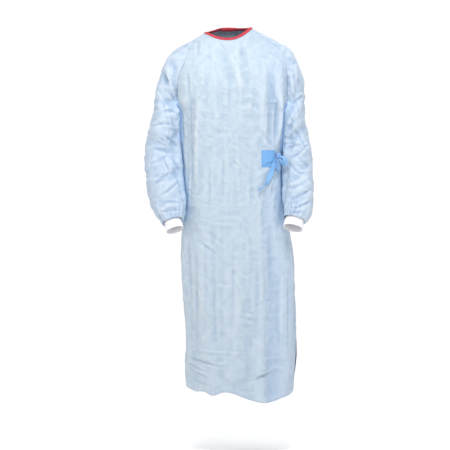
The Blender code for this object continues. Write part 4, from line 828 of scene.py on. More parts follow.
def nearness(spots, line):
    """How far each spot is from the line, signed by its side, and how far along the nearest place is."""
    best, along, side = np.full(len(spots), np.inf), np.zeros(len(spots)), np.ones(len(spots))
    steps = len(line) - 1
    for k in range(steps):
        a, way = line[k], line[k + 1] - line[k]
        off = spots - a
        f = np.clip(off @ way / (way @ way), 0, 1)
        far = np.linalg.norm(off - f[:, None] * way, axis=1)
        nearer = far < best
        best[nearer], along[nearer] = far[nearer], (k + f[nearer]) / steps
        side[nearer] = np.sign(way[0] * off[nearer, 1] - way[1] * off[nearer, 0])
    return best * side, along


def folded(points, normals, table, parts, shape, reach):
    """The points moved along their normals by every fold in the table."""
    move = np.zeros(len(points))
    for number, values in enumerate(table):
        row = dict(zip(FOLD_COLUMNS, values, strict=True))
        way = np.array(SIDES[row["side"]], float)
        spots = points[:, [0, 2]] if way[0] == 0 else points[:, [1, 2]]
        line, margin = curve_through(row), row["half"] * reach
        inside = ((spots > line.min(axis=0) - margin) & (spots < line.max(axis=0) + margin)).all(axis=1)
        near = np.flatnonzero(inside & (parts[row["part"]] > 0.001))
        far, along = nearness(spots[near], line)
        faces = ease((normals[near, :2] @ way - 0.05) / 0.4)
        rise = shape(far / row["half"], along, row, number)
        move[near] += row["rise"] * rise * faces * parts[row["part"]][near]
    return points + normals * move[:, None]


def soft_fold(across, along, row, number):
    """The solids' own folds: a rounded bank that runs out at both ends, or goes on to the hem."""
    shape = np.where(np.abs(across) < 1, 0.5 + 0.5 * np.cos(math.pi * across), 0)
    return shape * ease(along / 0.25) * ease((1 - along) / 0.2 + (row["z2"] < -1.2))


def sharp_crease(across, along, row, number):
    """A narrow trough or ridge with soft shoulders, one flank steeper than the other and its depth uneven."""
    ends = ease(along / 0.35) * ease((1 - along) / 0.4)
    lean = 0.7 if number % 2 else 1.3
    across = across * np.where(across > 0, lean, 1 / lean) / (0.6 + 0.4 * ends)
    depth = 0.78 + 0.22 * np.sin(7 * along + 2.3 * number)
    off = np.abs(across)
    return (np.exp(-1.3 * off**1.3) - 0.3 * np.exp(-(((off - 1.6) / 0.7) ** 2))) * ends * depth


def part_shares(points, quads, owners):
    """For each part named by a fold, 1 on its own points, running out softly across the seams."""
    shares = {}
    neighbours = np.concatenate([quads[:, [k, (k + 1) % 4]] for k in range(4)])
    count = np.bincount(neighbours.reshape(-1), minlength=len(points))
    for part, names in (
        ("body", ("front", "back_right", "back_left")),
        ("right", ("sleeve_right",)),
        ("left", ("sleeve_left",)),
    ):
        share = np.zeros(len(points))
        share[np.unique(quads[np.isin(owners, names)])] = 1
        for _ in range(SHARE_STEPS):
            a = np.bincount(neighbours[:, 0], share[neighbours[:, 1]], minlength=len(points))
            b = np.bincount(neighbours[:, 1], share[neighbours[:, 0]], minlength=len(points))
            share = 0.5 * share + 0.5 * (a + b) / np.maximum(count, 1)
        shares[part] = share
    return shares


def lattice_noise(spots, seed):
    """Smooth noise from -1 to 1 at spots measured in its own cells."""
    size = 32
    values = np.random.default_rng(seed).uniform(-1, 1, (size, size, size))
    cell = np.floor(spots).astype(int)
    f = spots - cell
    f = f * f * f * (f * (6 * f - 15) + 10)
    total = np.zeros(len(spots))
    for corner in np.ndindex(2, 2, 2):
        at = (cell + corner) % size
        weight = np.prod(np.where(corner, f, 1 - f), axis=1)
        total += weight * values[at[:, 0], at[:, 1], at[:, 2]]
    return total


def rippled(points, table, seed):
    """How far uneven ripples lift each point."""
    lift = np.zeros(len(points))
    for number, (across, down, height, sharp) in enumerate(table):
        spots = points / [across, across, down]
        wander = lattice_noise(spots * 0.45 + 7.3, seed + 50 + number)
        noise = lattice_noise(spots + wander[:, None] * 0.8, seed + number)
        crest = 1 - 2.2 * np.abs(noise) ** 0.8 if sharp else noise * 1.6
        lift += height * crest
    return lift


def pack_lines(points, normals):
    """The faint crossing lines left by the cloth's fold in its pack, on the front."""
    lift = np.zeros(len(points))
    wander = lattice_noise(points / 0.11, RIPPLE_SEED + 90) * 0.006
    faces = ease((-normals[:, 1] - 0.3) / 0.3)
    for k, level in enumerate(PACK_LINES["levels"]):
        off = (points[:, 2] - level + wander + 0.01 * (points[:, 0] - 0.02)) / PACK_LINES["half"]
        lift += (1 if k % 2 else -1) * np.exp(-off * off)
    off = (points[:, 0] - PACK_LINES["x"] + wander) / PACK_LINES["half"]
    lift += np.exp(-off * off) * ease((-0.12 - points[:, 2]) / 0.1)
    return lift * PACK_LINES["rise"] * faces


def against_body(rings, sign):
    """The sleeve's inner side pressed flat along the body's side, a little off it and clear of the belt."""
    x, y, z = np.moveaxis(rings, -1, 0)
    body = read(BODY, BODY_COLUMNS, -z)
    middle, half = (body["x_right"] + body["x_left"]) / 2, (body["x_left"] - body["x_right"]) / 2
    centre, deep = (body["y_front"] + body["y_back"]) / 2, (body["y_back"] - body["y_front"]) / 2
    share = np.clip(np.abs(y - centre) / deep, 0, 0.999) ** body["power"]
    side = middle + sign * half * (1 - share) ** (1 / body["power"])
    close = BESIDE_BODY
    over_belt = close["belt"] * np.exp(-(((z - BELT["z"]) / close["belt_half"]) ** 4)) * (sign > 0)
    off = sign * (x - side) - close["clear"] - over_belt
    beyond = np.maximum(off, 0)
    pressed = np.where(off < close["reach"], beyond * (beyond / close["reach"]) ** close["press"], off)
    window = ease((ARMPIT_Z - z) / close["start"]) * ease((z - close["low"]) / close["end"])
    return np.stack([x - sign * (off - pressed) * window, y, z], -1)


def turned_gap(points):
    """Body and sleeves sheared alike beside each armhole, so that no light shows between them."""
    x, y, z = points.T
    window = ease((GAP["top"] - z) / GAP["start"]) * ease((z - GAP["low"]) / GAP["end"])
    body = read(BODY, BODY_COLUMNS, -z)
    for sign, edge in ((-1, body["x_right"]), (1, body["x_left"])):
        near = np.exp(-(((x - edge - sign * GAP["off"]) / GAP["reach"]) ** 2))
        x = x + sign * GAP["turn"] * np.clip(y, -GAP["reach"], GAP["reach"]) * near * window
    return np.stack([x, y, z], -1)


def room_beside(points, quads, owners):
    """How far each point is from the other part, where body and sleeve come close below the armpit."""
    low = (points[quads][:, :, 2] < ARMPIT_Z + 1e-6).all(axis=1)
    sleeve = np.char.startswith(owners, "sleeve")
    room = np.full(len(points), np.inf)
    for mine, other in ((sleeve, low & ~sleeve), (~sleeve, low & sleeve)):
        tree = BVHTree.FromPolygons(points.tolist(), quads[other].tolist())
        for index in np.unique(quads[mine]):
            spot = points[index]
            if spot[2] > ARMPIT_Z + VALLEY_ABOVE:
                continue
            found = tree.find_nearest(spot, VALLEY_REACH)
            if found[0] is not None:
                room[index] = min(room[index], found[3])
    return room


class Cloth:
    """The whole fine surface: points, quads, the panel of each quad, and the points' marks."""

    def __init__(self):
        blocks = yoke_blocks() + body_blocks() + sleeve_blocks()
        marked_points, self.quads, self.owners, self.tops = welded(blocks)
        points, self.edge, level = turned_gap(marked_points[:, :3]), marked_points[:, 3], marked_points[:, 4]
        self.quads = facing_out(points, self.quads, self.owners)
        parts = part_shares(points, self.quads, self.owners)
        softer = {part: share * FOLD_DEPTH for part, share in parts.items()}
        points = folded(points, point_normals(points, self.quads), FOLDS, softer, soft_fold, 1.0)
        beside = room_beside(points, self.quads, self.owners)
        room = ease(beside / CLEAR_OF_OTHER)
        near_neck = ease(level / NECK_PLAIN)
        free = {part: share * room * near_neck for part, share in parts.items()}
        normals = point_normals(points, self.quads)
        deeper = {part: share * CREASE_DEPTH[part] for part, share in free.items()}
        points = folded(points, normals, CREASES, deeper, sharp_crease, FOLD_REACH)
        normals = point_normals(points, self.quads)
        lift = free["body"] * (rippled(points, RIPPLES["body"], RIPPLE_SEED) + pack_lines(points, normals))
        sleeves = free["right"] + free["left"]
        lift += sleeves * rippled(points, RIPPLES["sleeve"], RIPPLE_SEED + 10)
        points = points + normals * lift[:, None]
        self.normals = point_normals(points, self.quads)
        points = points + self.normals * self.relief()[:, None]
        self.points = points
        self.normals = point_normals(points, self.quads)
        self.sleeve_share = parts["right"] + parts["left"]
        # Marks for the painted shade, painted highlight and painted light: the cloth's hollows, and where
        # body and sleeve lie close
        self.shading_marks = {"hollow": self.hollows(), "valley": 1 - ease(beside / VALLEY_REACH)}

    def hollows(self):
        """How far each point lies under its surroundings, near and wider, as a share of the deepest painted
        shade, with crests low for the painted highlight.
        """
        a, b = np.concatenate([self.quads[:, [k, (k + 1) % 4]] for k in range(4)]).T
        size = len(self.points)
        count = np.maximum(np.bincount(a, minlength=size) + np.bincount(b, minlength=size), 1)
        sleeve = self.sleeve_share
        mean, depth = self.points.copy(), np.zeros(size)
        for step in range(1, HOLLOW_STEPS[-1] + 1):
            total = [np.bincount(a, mean[b, k], size) + np.bincount(b, mean[a, k], size) for k in range(3)]
            mean = 0.3 * mean + 0.7 * np.stack(total, -1) / count[:, None]
            if step in HOLLOW_STEPS:
                off = ((mean - self.points) * self.normals).sum(axis=1)
                k = HOLLOW_STEPS.index(step)
                depth += off * ((1 - sleeve) / HOLLOW_DEPTHS["body"][k] + sleeve / HOLLOW_DEPTHS["sleeve"][k])
        return 0.5 + 0.5 * np.tanh(depth)

    def relief(self):
        """The turned hem and edges, a little proud, with the stitch line's groove, and the sunk seams."""
        edge = self.edge
        lift = HEM_LIFT * ease((HEM_DEPTH - edge) / 0.003)
        lift -= HEM_GROOVE * np.exp(-(((edge - HEM_DEPTH) / 0.0012) ** 2))
        used = np.zeros(len(edge), int)
        for name in PANELS:
            used[np.unique(self.quads[self.owners == name])] += 1
        lift[used > 1] -= SEAM_DIP
        return lift

    def panel(self, name):
        """The points, quads and marks of one panel by itself."""
        used, local = np.unique(self.quads[self.owners == name], return_inverse=True)
        return self.points[used], local.reshape(-1, 4), {key: tone[used] for key, tone in self.shading_marks.items()}


@functools.cache
def cloth():
    return Cloth()


class Surface:
    """The body's outer face, to lay other pieces on."""

    def __init__(self, whole):
        mine = ~np.char.startswith(whole.owners, "sleeve")
        self.points, self.quads, self.owners = whole.points, whole.quads[mine], whole.owners[mine]
        self.normals = whole.normals
        self.tree = BVHTree.FromPolygons(self.points.tolist(), self.quads.tolist())

    def hit(self, start, way):
        """The place where a ray meets the cloth, the cloth's smooth normal there, and the panel."""
        spot, _, face, _ = self.tree.ray_cast(tuple(start), tuple(way))
        spot = np.array(spot)
        corners = self.quads[face]
        weight = 1 / (np.linalg.norm(self.points[corners] - spot, axis=1) + 1e-4)
        return spot, unit((self.normals[corners] * weight[:, None]).sum(axis=0)), self.owners[face]

    def front(self, x, z):
        return self.hit((x, -1, z), (0, 1, 0))

    def round(self, turn, z):
        """Where a level ray towards the body's middle, from that angle round it, meets the cloth."""
        way = np.array([math.sin(turn), -math.cos(turn), 0])
        return self.hit(np.array([MIDDLE_X, 0, z]) + way, -way)


@functools.cache
def surface():
    return Surface(cloth())


def add_mesh(name, points, faces, material, smooth_angle=60):
    """A new object at the world's origin with this mesh."""
    mesh = bpy.data.meshes.new(name)
    mesh.from_pydata(np.asarray(points, float).tolist(), [], [list(map(int, f)) for f in faces])
    mesh.update()
    mesh.materials.append(material)
    mesh.shade_smooth()
    mesh.set_sharp_from_angle(angle=math.radians(smooth_angle))
    made = bpy.data.objects.new(name, mesh)
    bpy.context.scene.collection.objects.link(made)
    return made


def apply_modifier(made, kind, **settings):
    """Adds a modifier with these settings and applies it."""
    modifier = made.modifiers.new(kind.title(), kind)
    for key, value in settings.items():
        setattr(modifier, key, value)
    bpy.ops.object.select_all(action="DESELECT")
    made.select_set(True)
    bpy.context.view_layer.objects.active = made
    bpy.ops.object.modifier_apply(modifier=modifier.name)


def dress(made, slot, *nodes):
    """The piece rides on the gown and stands for its solids. The slot is not used."""
    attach(made, "root")
    if nodes:
        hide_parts(*nodes)
    return made


def grid_faces(rows, columns, closed=False):
    """The quads between the rows of a grid of points, wrapped round where its columns close."""
    faces = []
    for k in range(rows - 1):
        for c in range(columns if closed else columns - 1):
            d = (c + 1) % columns
            faces.append((k * columns + c, k * columns + d, (k + 1) * columns + d, (k + 1) * columns + c))
    return faces


def lofted(sections, closed_ends=True):
    """A closed solid through sections of the same corners. Its faces point outwards."""
    rows, corners = len(sections), len(sections[0])
    faces = grid_faces(rows, corners, closed=True)
    if closed_ends:
        faces.append(tuple(range(corners))[::-1])
        faces.append(tuple((rows - 1) * corners + c for c in range(corners)))
    points = np.concatenate(sections)
    middle = points.mean(axis=0)
    volume = 0.0
    for f in faces:
        for i in range(1, len(f) - 1):
            a, b, c = points[f[0]] - middle, points[f[i]] - middle, points[f[i + 1]] - middle
            volume += np.dot(a, np.cross(b, c))
    return points, faces if volume > 0 else [f[::-1] for f in faces]


def smooth_line(rows, count):
    """A smooth curve through the rows, at even steps."""
    rows = np.array(rows, float)
    keys = np.linspace(0, 1, len(rows))
    table = np.column_stack([keys, rows])
    read_at = read(table, ("key", "a", "b", "c"), np.linspace(0, 1, count))
    return np.stack([read_at["a"], read_at["b"], read_at["c"]], -1)


def strip_section(half_wide, half_thick):
    """The section of a strip of folded cloth: thin, with its sewn edges a little thicker and round."""
    edge, edge_from = half_thick * 1.12, 0.83
    upper = [(-1.0, 0.0), (-0.985, 0.75), (-0.93, 1.0), (-0.84, 1.0), (-0.78, 0.72), (-0.4, 0.86), (0.0, 0.9)]
    upper += [(-x, y) for x, y in upper[-2::-1]]
    lower = [(x, -y) for x, y in upper[-2:0:-1]]
    corners = upper + lower
    return [(x * half_wide, y * (edge if abs(x) > edge_from else half_thick)) for x, y in corners]


def strip(line, outs, wides, halves):
    """Sections of a strip of cloth along the line, with a little unevenness across it."""
    made = []
    for p, o, w, h in zip(line, outs, wides, np.broadcast_to(halves, len(line)), strict=True):
        across, out = np.array(strip_section(h, TIE_THICK / 2)).T
        spots = p + w * across[:, None]
        lift = lattice_noise(spots / TIE_WAVE["length"], TIE_WAVE["seed"]) * TIE_WAVE["height"]
        made.append(spots + o * (out + lift)[:, None])
    return made


def stitch_run(line, outs, radius):
    """Small raised stitches along a line: one stitch's form, copied at even steps, as one mesh."""
    pitch, length = STITCH["pitch"], STITCH["length"]
    line, outs = np.asarray(line, float), np.asarray(outs, float)
    steps = np.linalg.norm(np.diff(line, axis=0), axis=1)
    reach = np.concatenate([[0], np.cumsum(steps)])
    places = np.arange(pitch / 2, reach[-1] - length / 2, pitch)
    spots = np.stack([np.interp(places, reach, line[:, k]) for k in range(3)], -1)
    ups = unit(np.stack([np.interp(places, reach, outs[:, k]) for k in range(3)], -1))
    ahead = np.stack([np.interp(places + length / 4, reach, line[:, k]) for k in range(3)], -1)
    ways = unit(ahead - spots)
    rings = ((-0.5, 0.35), (-0.38, 0.85), (0.0, 1.0), (0.38, 0.85), (0.5, 0.35))
    sides = 6
    points, faces = [], []
    for spot, up, way in zip(spots, ups, ways, strict=True):
        across = np.cross(way, up)
        base = len(points)
        for along, size in rings:
            for c in range(sides):
                turn = 2 * math.pi * c / sides
                round_off = (math.cos(turn) * across + math.sin(turn) * up) * radius * size
                points.append(spot + way * along * length + round_off)
        faces += [tuple(base + i for i in f) for f in grid_faces(len(rings), sides, closed=True)]
        faces.append(tuple(base + c for c in range(sides))[::-1])
        faces.append(tuple(base + (len(rings) - 1) * sides + c for c in range(sides)))
    return points, faces


class Value:
    """A number on a shader's wire. Sums and products of it add their Math nodes."""

    def __init__(self, paint, socket):
        self.paint, self.socket = paint, socket

    def maths(self, operation, *values):
        return self.paint.add("ShaderNodeMath", {"operation": operation}, *values)

    def __add__(self, other):
        return self.maths("ADD", self, other)

    def __sub__(self, other):
        return self.maths("SUBTRACT", self, other)

    def __rsub__(self, other):
        return self.maths("SUBTRACT", other, self)

    def __mul__(self, other):
        return self.maths("MULTIPLY", self, other)

    def __pow__(self, other):
        return self.maths("POWER", self, other)

    __radd__, __rmul__ = __add__, __mul__


class Nodes:
    """A tree of shader nodes."""

    def __init__(self, owner):
        owner.use_nodes = True
        self.tree = owner.node_tree

    def add(self, kind, settings, *values, output=0, **named):
        """A node of that kind: its settings first, then its sockets' values or links, None for neither."""
        node = self.tree.nodes.new(kind)
        for key, value in settings.items():
            setattr(node, key, value)
        for key, value in [*enumerate(values), *named.items()]:
            socket = node.inputs[key if isinstance(key, int) else key.replace("_", " ")]
            if isinstance(value, Value):
                self.tree.links.new(value.socket, socket)
            elif value is not None:
                socket.default_value = value
        return Value(self, node.outputs[output])

    def ramp(self, value, start, end, low=0.0, high=1.0):
        """From low to high, with a soft start and end, while the value goes from start to end."""
        soft = {"interpolation_type": "SMOOTHSTEP"}
        return self.add("ShaderNodeMapRange", soft, value, start, end, low, high)


class Paint(Nodes):
    """The nodes of one new material."""

    def __init__(self, name, colour, roughness, sheen=0.0):
        self.material = bpy.data.materials.new(name)
        super().__init__(self.material)
        self.shader = self.tree.nodes["Principled BSDF"]
        self.shader.inputs["Base Color"].default_value = (*colour, 1)
        self.shader.inputs["Roughness"].default_value = roughness
        self.shader.inputs["Sheen Weight"].default_value = sheen
        self.shader.inputs["Specular IOR Level"].default_value = 0.35
        self.place = self.add("ShaderNodeTexCoord", {}, output="Object")

    def noise(self, scale, detail=2.0, stretch=(1, 1, 1)):
        place = self.add("ShaderNodeMapping", {}, self.place, Scale=stretch)
        return self.add("ShaderNodeTexNoise", {}, Vector=place, Scale=scale, Detail=detail, output="Fac")

    def mix(self, share, first, second):
        """A colour between two colours."""
        ends = [colour if isinstance(colour, Value) else (*colour, 1) for colour in (first, second)]
        return self.add("ShaderNodeMix", {"data_type": "RGBA"}, share, *[None] * 5, *ends, output=2)

    def multiply(self, first, second):
        """The product of two colours."""
        return self.add("ShaderNodeVectorMath", {"operation": "MULTIPLY"}, first, second)

    def feed(self, name, value):
        self.tree.links.new(value.socket, self.shader.inputs[name])

    def bump(self, height, distance, strength=1.0):
        made = self.add("ShaderNodeBump", {}, Strength=strength, Distance=distance, Height=height)
        self.feed("Normal", made)


def shade(colour, factor):
    """The colour made lighter or darker."""
    return tuple(min(1.0, c * factor) for c in colour)


def crease_lines(paint, scale, upright, width):
    """Thin broken lines, as hard folds leave in nonwoven cloth, from the edges of warped cells."""
    add, far = paint.add, {"feature": "DISTANCE_TO_EDGE"}
    wander = add("ShaderNodeTexNoise", {}, Vector=paint.place, Scale=scale * 0.7, Detail=2.0, output="Color")
    reach = (0.9 / scale,) * 3
    warped = add("ShaderNodeVectorMath", {"operation": "MULTIPLY_ADD"}, wander, reach, paint.place)
    place = add("ShaderNodeMapping", {}, warped, Scale=(1, 1, upright))
    cells = add("ShaderNodeTexVoronoi", far, Vector=place, Scale=scale, output="Distance")
    return paint.ramp(cells, 0.0, width, 1.0, 0.0) * paint.ramp(paint.noise(scale * 0.6, 1.0), 0.42, 0.62)


def gown_paint(name, colour, side_shade_colour):
    """Nonwoven cloth: soft, slightly mottled, with fine fibres and a close pattern of pressed points."""
    paint = Paint(name, colour, 0.62, sheen=0.12)
    broad, fibre = paint.noise(9.0, 3.0), paint.noise(900.0, 3.0, (1, 1, 0.35))
    # Painted shade and painted highlight: the colour turned darker and bluer in the cloth's hollows, a tenth
    # lighter on its crests
    hollow = paint.add("ShaderNodeAttribute", {"attribute_name": "hollow"}, output="Fac")
    deep = tuple(c * f for c, f in zip(colour, HOLLOW_SHADE, strict=True))
    # Painted shade between body and sleeve, where they lie close
    valley = paint.add("ShaderNodeAttribute", {"attribute_name": "valley"}, output="Fac")
    tone = paint.mix(valley, paint.mix(hollow, shade(colour, 1.10), deep), VALLEY_SHADE)
    mottle = paint.mix(broad * 0.6 + fibre * 0.4, (0.955,) * 3, (1.03,) * 3)
    across = paint.add("ShaderNodeSeparateXYZ", {}, paint.place, output="X")
    height = paint.add("ShaderNodeSeparateXYZ", {}, paint.place, output="Z")
    # Painted shade: bluer and a little darker towards the wearer's left
    side_shaded = paint.mix(paint.ramp(across, *SIDE_SHADE_FROM), (1.0, 1.0, 1.0), side_shade_colour)
    paint.feed("Base Color", paint.multiply(paint.multiply(tone, mottle), side_shaded))
    # Painted light: an emission where body and sleeve lie close, stronger near the armpits
    glow = paint.mix(paint.ramp(height, *GLOW_HEIGHTS), VALLEY_GLOW, ARMPIT_GLOW)
    paint.feed("Emission Color", paint.multiply(valley ** 8.0, glow))
    paint.shader.inputs["Emission Strength"].default_value = 1.0
    paint.feed("Roughness", fibre * 0.14 + 0.55)
    spots = paint.add("ShaderNodeTexVoronoi", {}, Vector=paint.place, Scale=520.0, output="Distance")
    crumple = paint.add(
        "ShaderNodeTexNoise", {"noise_type": "RIDGED_MULTIFRACTAL", "normalize": True},
        Vector=paint.add("ShaderNodeMapping", {}, paint.place, Scale=(1, 1, 0.6)),
        Scale=24.0, Detail=3.0, Distortion=0.6,
    )
    lines = crease_lines(paint, 15.0, 0.55, 0.09) * 0.0018 + crease_lines(paint, 33.0, 0.8, 0.12) * 0.0013
    paint.bump(fibre * 0.0002 + spots * 0.00012 + crumple * 0.0014 + lines, 1.0, 0.8)
    return paint.material


def knit_paint(colour):
    """White rib knit: fine stitches over the modelled ribs."""
    paint = Paint("rib_knit", colour, 0.85, sheen=0.25)
    rows = paint.add(
        "ShaderNodeTexWave", {"bands_direction": "Z"}, Vector=paint.place, Scale=140.0, Distortion=2.0,
        output="Fac",
    )
    fuzz = paint.noise(1200.0, 2.0)
    paint.feed("Base Color", paint.mix(rows * 0.5 + fuzz * 0.5, shade(colour, 0.93), shade(colour, 1.02)))
    paint.bump(rows * 0.6 + fuzz * 0.5, 0.0003, 0.6)
    return paint.material


def tape_paint(colour):
    """Red folded tape of a tight plain weave."""
    paint = Paint("red_tape", colour, 0.7, sheen=0.1)
    weave = paint.add("ShaderNodeTexVoronoi", {}, Vector=paint.place, Scale=900.0, output="Distance")
    broad = paint.noise(60.0, 2.0)
    paint.feed("Base Color", paint.mix(broad * 0.7 + weave * 0.4, shade(colour, 0.85), shade(colour, 1.12)))
    paint.bump(weave, 0.0002, 0.6)
    return paint.material


def tie_paint(name, colour):
    """Bright blue nonwoven of the patch and the ties."""
    paint = Paint(name, colour, 0.55, sheen=0.1)
    fibre = paint.noise(800.0, 3.0)
    broad = paint.noise(30.0, 2.0)
    paint.feed("Base Color", paint.mix(fibre * 0.5 + broad * 0.5, shade(colour, 0.9), shade(colour, 1.1)))
    paint.feed("Roughness", fibre * 0.15 + 0.5)
    paint.bump(fibre, 0.0002, 0.6)
    return paint.material


def thread_paint(colour):
    """Sewing thread."""
    paint = Paint("thread", colour, 0.5)
    twist = paint.noise(1500.0, 1.0)
    paint.feed("Base Color", paint.mix(twist, shade(colour, 0.85), colour))
    return paint.material


def colour_setting(name, about, default):
    return bpy.props.FloatVectorProperty(
        name=name, description="Colour of " + about, subtype="COLOR", size=3, min=0, max=1, default=default
    )


def power_setting(name, about, default):
    return bpy.props.FloatProperty(
        name=name, description="Power of the " + about, unit="POWER", default=default, min=0
    )


class GownSettings(bpy.types.PropertyGroup):
    """The cloth of the panels."""

    front_colour: colour_setting("Front", "the body's cloth", (0.495, 0.558, 0.606))
    sleeve_colour: colour_setting("Sleeves", "the sleeves' cloth", (0.478, 0.553, 0.640))
    thickness: bpy.props.FloatProperty(
        name="Thickness", description="Thickness of the cloth's shell", unit="LENGTH",
        default=0.0008, min=0.0002, max=CLOTH,
    )


class TrimSettings(bpy.types.PropertyGroup):
    """The binding, cuffs and ties."""

    tape_colour: colour_setting("Tape", "the neck binding", (0.50, 0.036, 0.058))
    knit_colour: colour_setting("Knit", "the cuffs", (0.84, 0.83, 0.86))
    strip_colour: colour_setting("Ties", "the belt and bow", (0.215, 0.43, 0.73))
    tie_colour: colour_setting("Patch", "the patch", (0.160, 0.375, 0.69))


class StageSettings(bpy.types.PropertyGroup):
    """Light and backdrop."""

    key_power: power_setting("Key light", "light high in front", 80.5)
    rake_power: power_setting("Raking light", "light from the side", 13.0)
    fill_power: power_setting("Fill light", "light on the other side", 26.0)
    rear_power: power_setting("Rear light", "light behind", 90.0)
    overhead_power: power_setting("Overhead light", "wide light above", 150.0)
    world_strength: bpy.props.FloatProperty(
        name="World", description="Strength of the even light all round", default=0.22, min=0
    )
    floor_glow: bpy.props.FloatProperty(
        name="Floor glow", description="Strength of the floor's own light", default=0.2, min=0
    )


class GOWN_OT_panels(bpy.types.Operator):
    """Front, backs and sleeves as thin shells of cloth"""

    bl_idname = "gown.panels"
    bl_label = "Panels"

    def execute(self, context):
        settings = context.scene.gown
        paints = {
            "body": gown_paint("gown_cloth", tuple(settings.front_colour), SIDE_SHADES["body"]),
            "sleeve": gown_paint("sleeve_cloth", tuple(settings.sleeve_colour), SIDE_SHADES["sleeve"]),
        }
        for name in PANELS:
            points, quads, shading_marks = cloth().panel(name)
            kind = "sleeve" if "sleeve" in name else "body"
            made = add_mesh("cloth_" + name, points, quads, paints[kind], 180)
            # The marks for the painted shade, painted highlight and painted light, kept on the mesh as
            # attributes
            for key, tone in shading_marks.items():
                made.data.attributes.new(key, "FLOAT", "POINT").data.foreach_set("value", tone)
            apply_modifier(made, "SOLIDIFY", thickness=settings.thickness, offset=-1.0)
            dress(made, "gown_cloth", name)
        return {"FINISHED"}


class GOWN_OT_binding(bpy.types.Operator):
    """Folded red tape over the neckline, with its stitches"""

    bl_idname = "gown.binding"
    bl_label = "Neck binding"

    def execute(self, context):
        whole = cloth()
        tops = whole.tops
        runs = [tops["back_right"][:, ::-1], tops["sleeve_right"][:, ::-1]]
        runs += [tops[name] for name in ("front", "sleeve_left", "back_left")]
        order = np.concatenate([runs[0]] + [run[:, 1:] for run in runs[1:]], axis=1)
        edges, below, normals = whole.points[order[0]], whole.points[order[1]], whole.normals[order[0]]
        ups = unit(edges - below)
        sections = []
        for edge, up, normal in zip(edges, ups, normals, strict=True):
            sections.append(np.array([edge + normal * out + up * along for out, along in tape_outline()]))
        colour = tuple(context.scene.gown_trim.tape_colour)
        made = add_mesh("tape", *lofted(sections), tape_paint(colour))
        dress(made, "red_tape", "neck_binding")
        low = TAPE_OVER - TAPE_WIDTH + TAPE_BORDER
        line = edges + normals * (TAPE_OPEN + TAPE_THICK) + ups * low
        thread = thread_paint(shade(colour, 0.8))
        stitches = add_mesh("tape_stitches", *stitch_run(line, normals, radius=0.00022), thread)
        dress(stitches, "red_tape")
        return {"FINISHED"}


def tape_outline():
    """The folded tape's section, as steps out from the cloth and up over its edge."""
    low, middle = TAPE_OVER - TAPE_WIDTH, -CLOTH / 2
    foot = middle + (CLOTH / 2 + TAPE_OPEN) + TAPE_THICK / 2
    narrowing, bulge, bend, height = 0.0005, 0.00025, 0.0012, 0.0011
    leg = []
    for share in np.linspace(0, 1, 6):
        bow = bulge * math.sin(math.pi * share)
        leg.append((foot - share * narrowing + bow, low + (TAPE_OVER - low - bend) * share))
    radius, top = leg[-1][0] - middle, leg[-1][1]
    turns = np.linspace(0, math.pi, 9)[1:-1]
    arc = [(middle + radius * math.cos(t), top + height * math.sin(t)) for t in turns]
    path = np.array(leg + arc + [(2 * middle - x, y) for x, y in leg[::-1]])
    ways = unit(np.gradient(path, axis=0))
    side = np.stack([-ways[:, 1], ways[:, 0]], -1) * TAPE_THICK / 2
    return np.concatenate([path - side, (path + side)[::-1]])


class GOWN_OT_cuffs(bpy.types.Operator):
    """Rib-knit cuffs, their ribs modelled"""

    bl_idname = "gown.cuffs"
    bl_label = "Cuffs"

    def execute(self, context):
        paint = knit_paint(tuple(context.scene.gown_trim.knit_colour))
        for side in ("right", "left"):
            made = add_mesh("knit_" + side, *cuff_mesh(side), paint)
            dress(made, "rib_knit", "cuff_" + side)
        return {"FINISHED"}


def cuff_mesh(side):
    """A tube of knit with upright ribs, its free end rounded and a little wider."""
    cuff = CUFFS[side]
    top, end = np.array(cuff["top"]), np.array(cuff["end"])
    along = unit(end - top)
    outward = np.array([1.0 if side == "left" else -1.0, 0, 0])
    turn = np.linspace(0, 2 * math.pi, CUFF_RIBS * 6, endpoint=False)
    rib = (0.5 + 0.5 * np.cos(CUFF_RIBS * turn)) ** 0.7
    rows = []
    for wall, shares in ((0.0, np.linspace(0, 1, 15)), (CUFF_WALL, np.linspace(1, 0, 15))):
        for share in shares:
            edge = 0.0006 * ease((share - 0.9) / 0.1)
            inset = CUFF_INSET + wall + (edge if wall == 0 else -edge)
            half = [a + (b - a) * share - inset for a, b in zip(cuff["half"], cuff["end_half"], strict=True)]
            ring = ring_round(top + along * CUFF_LENGTH * share, along, *half, outward, turn)
            centre = ring.mean(axis=0)
            depth = -0.0007 * (1 - rib) if wall == 0 else -0.0004 * rib
            ripple = 0.0003 * np.sin(3 * turn + 9 * share)
            rows.append(ring + unit(ring - centre) * (depth + ripple)[:, None])
    rows.append(rows[0])
    points = np.concatenate(rows[:-1])
    count, columns = len(rows) - 1, len(turn)
    faces = grid_faces(count, columns, closed=True)
    last = (count - 1) * columns
    faces += [(last + c, last + (c + 1) % columns, (c + 1) % columns, c) for c in range(columns)]
    a, b, c, _ = (points[i] for i in faces[0])
    if np.dot(np.cross(b - a, c - a), a - (top + along * CUFF_LENGTH / 2)) < 0:
        faces = [f[::-1] for f in faces]
    return points, faces


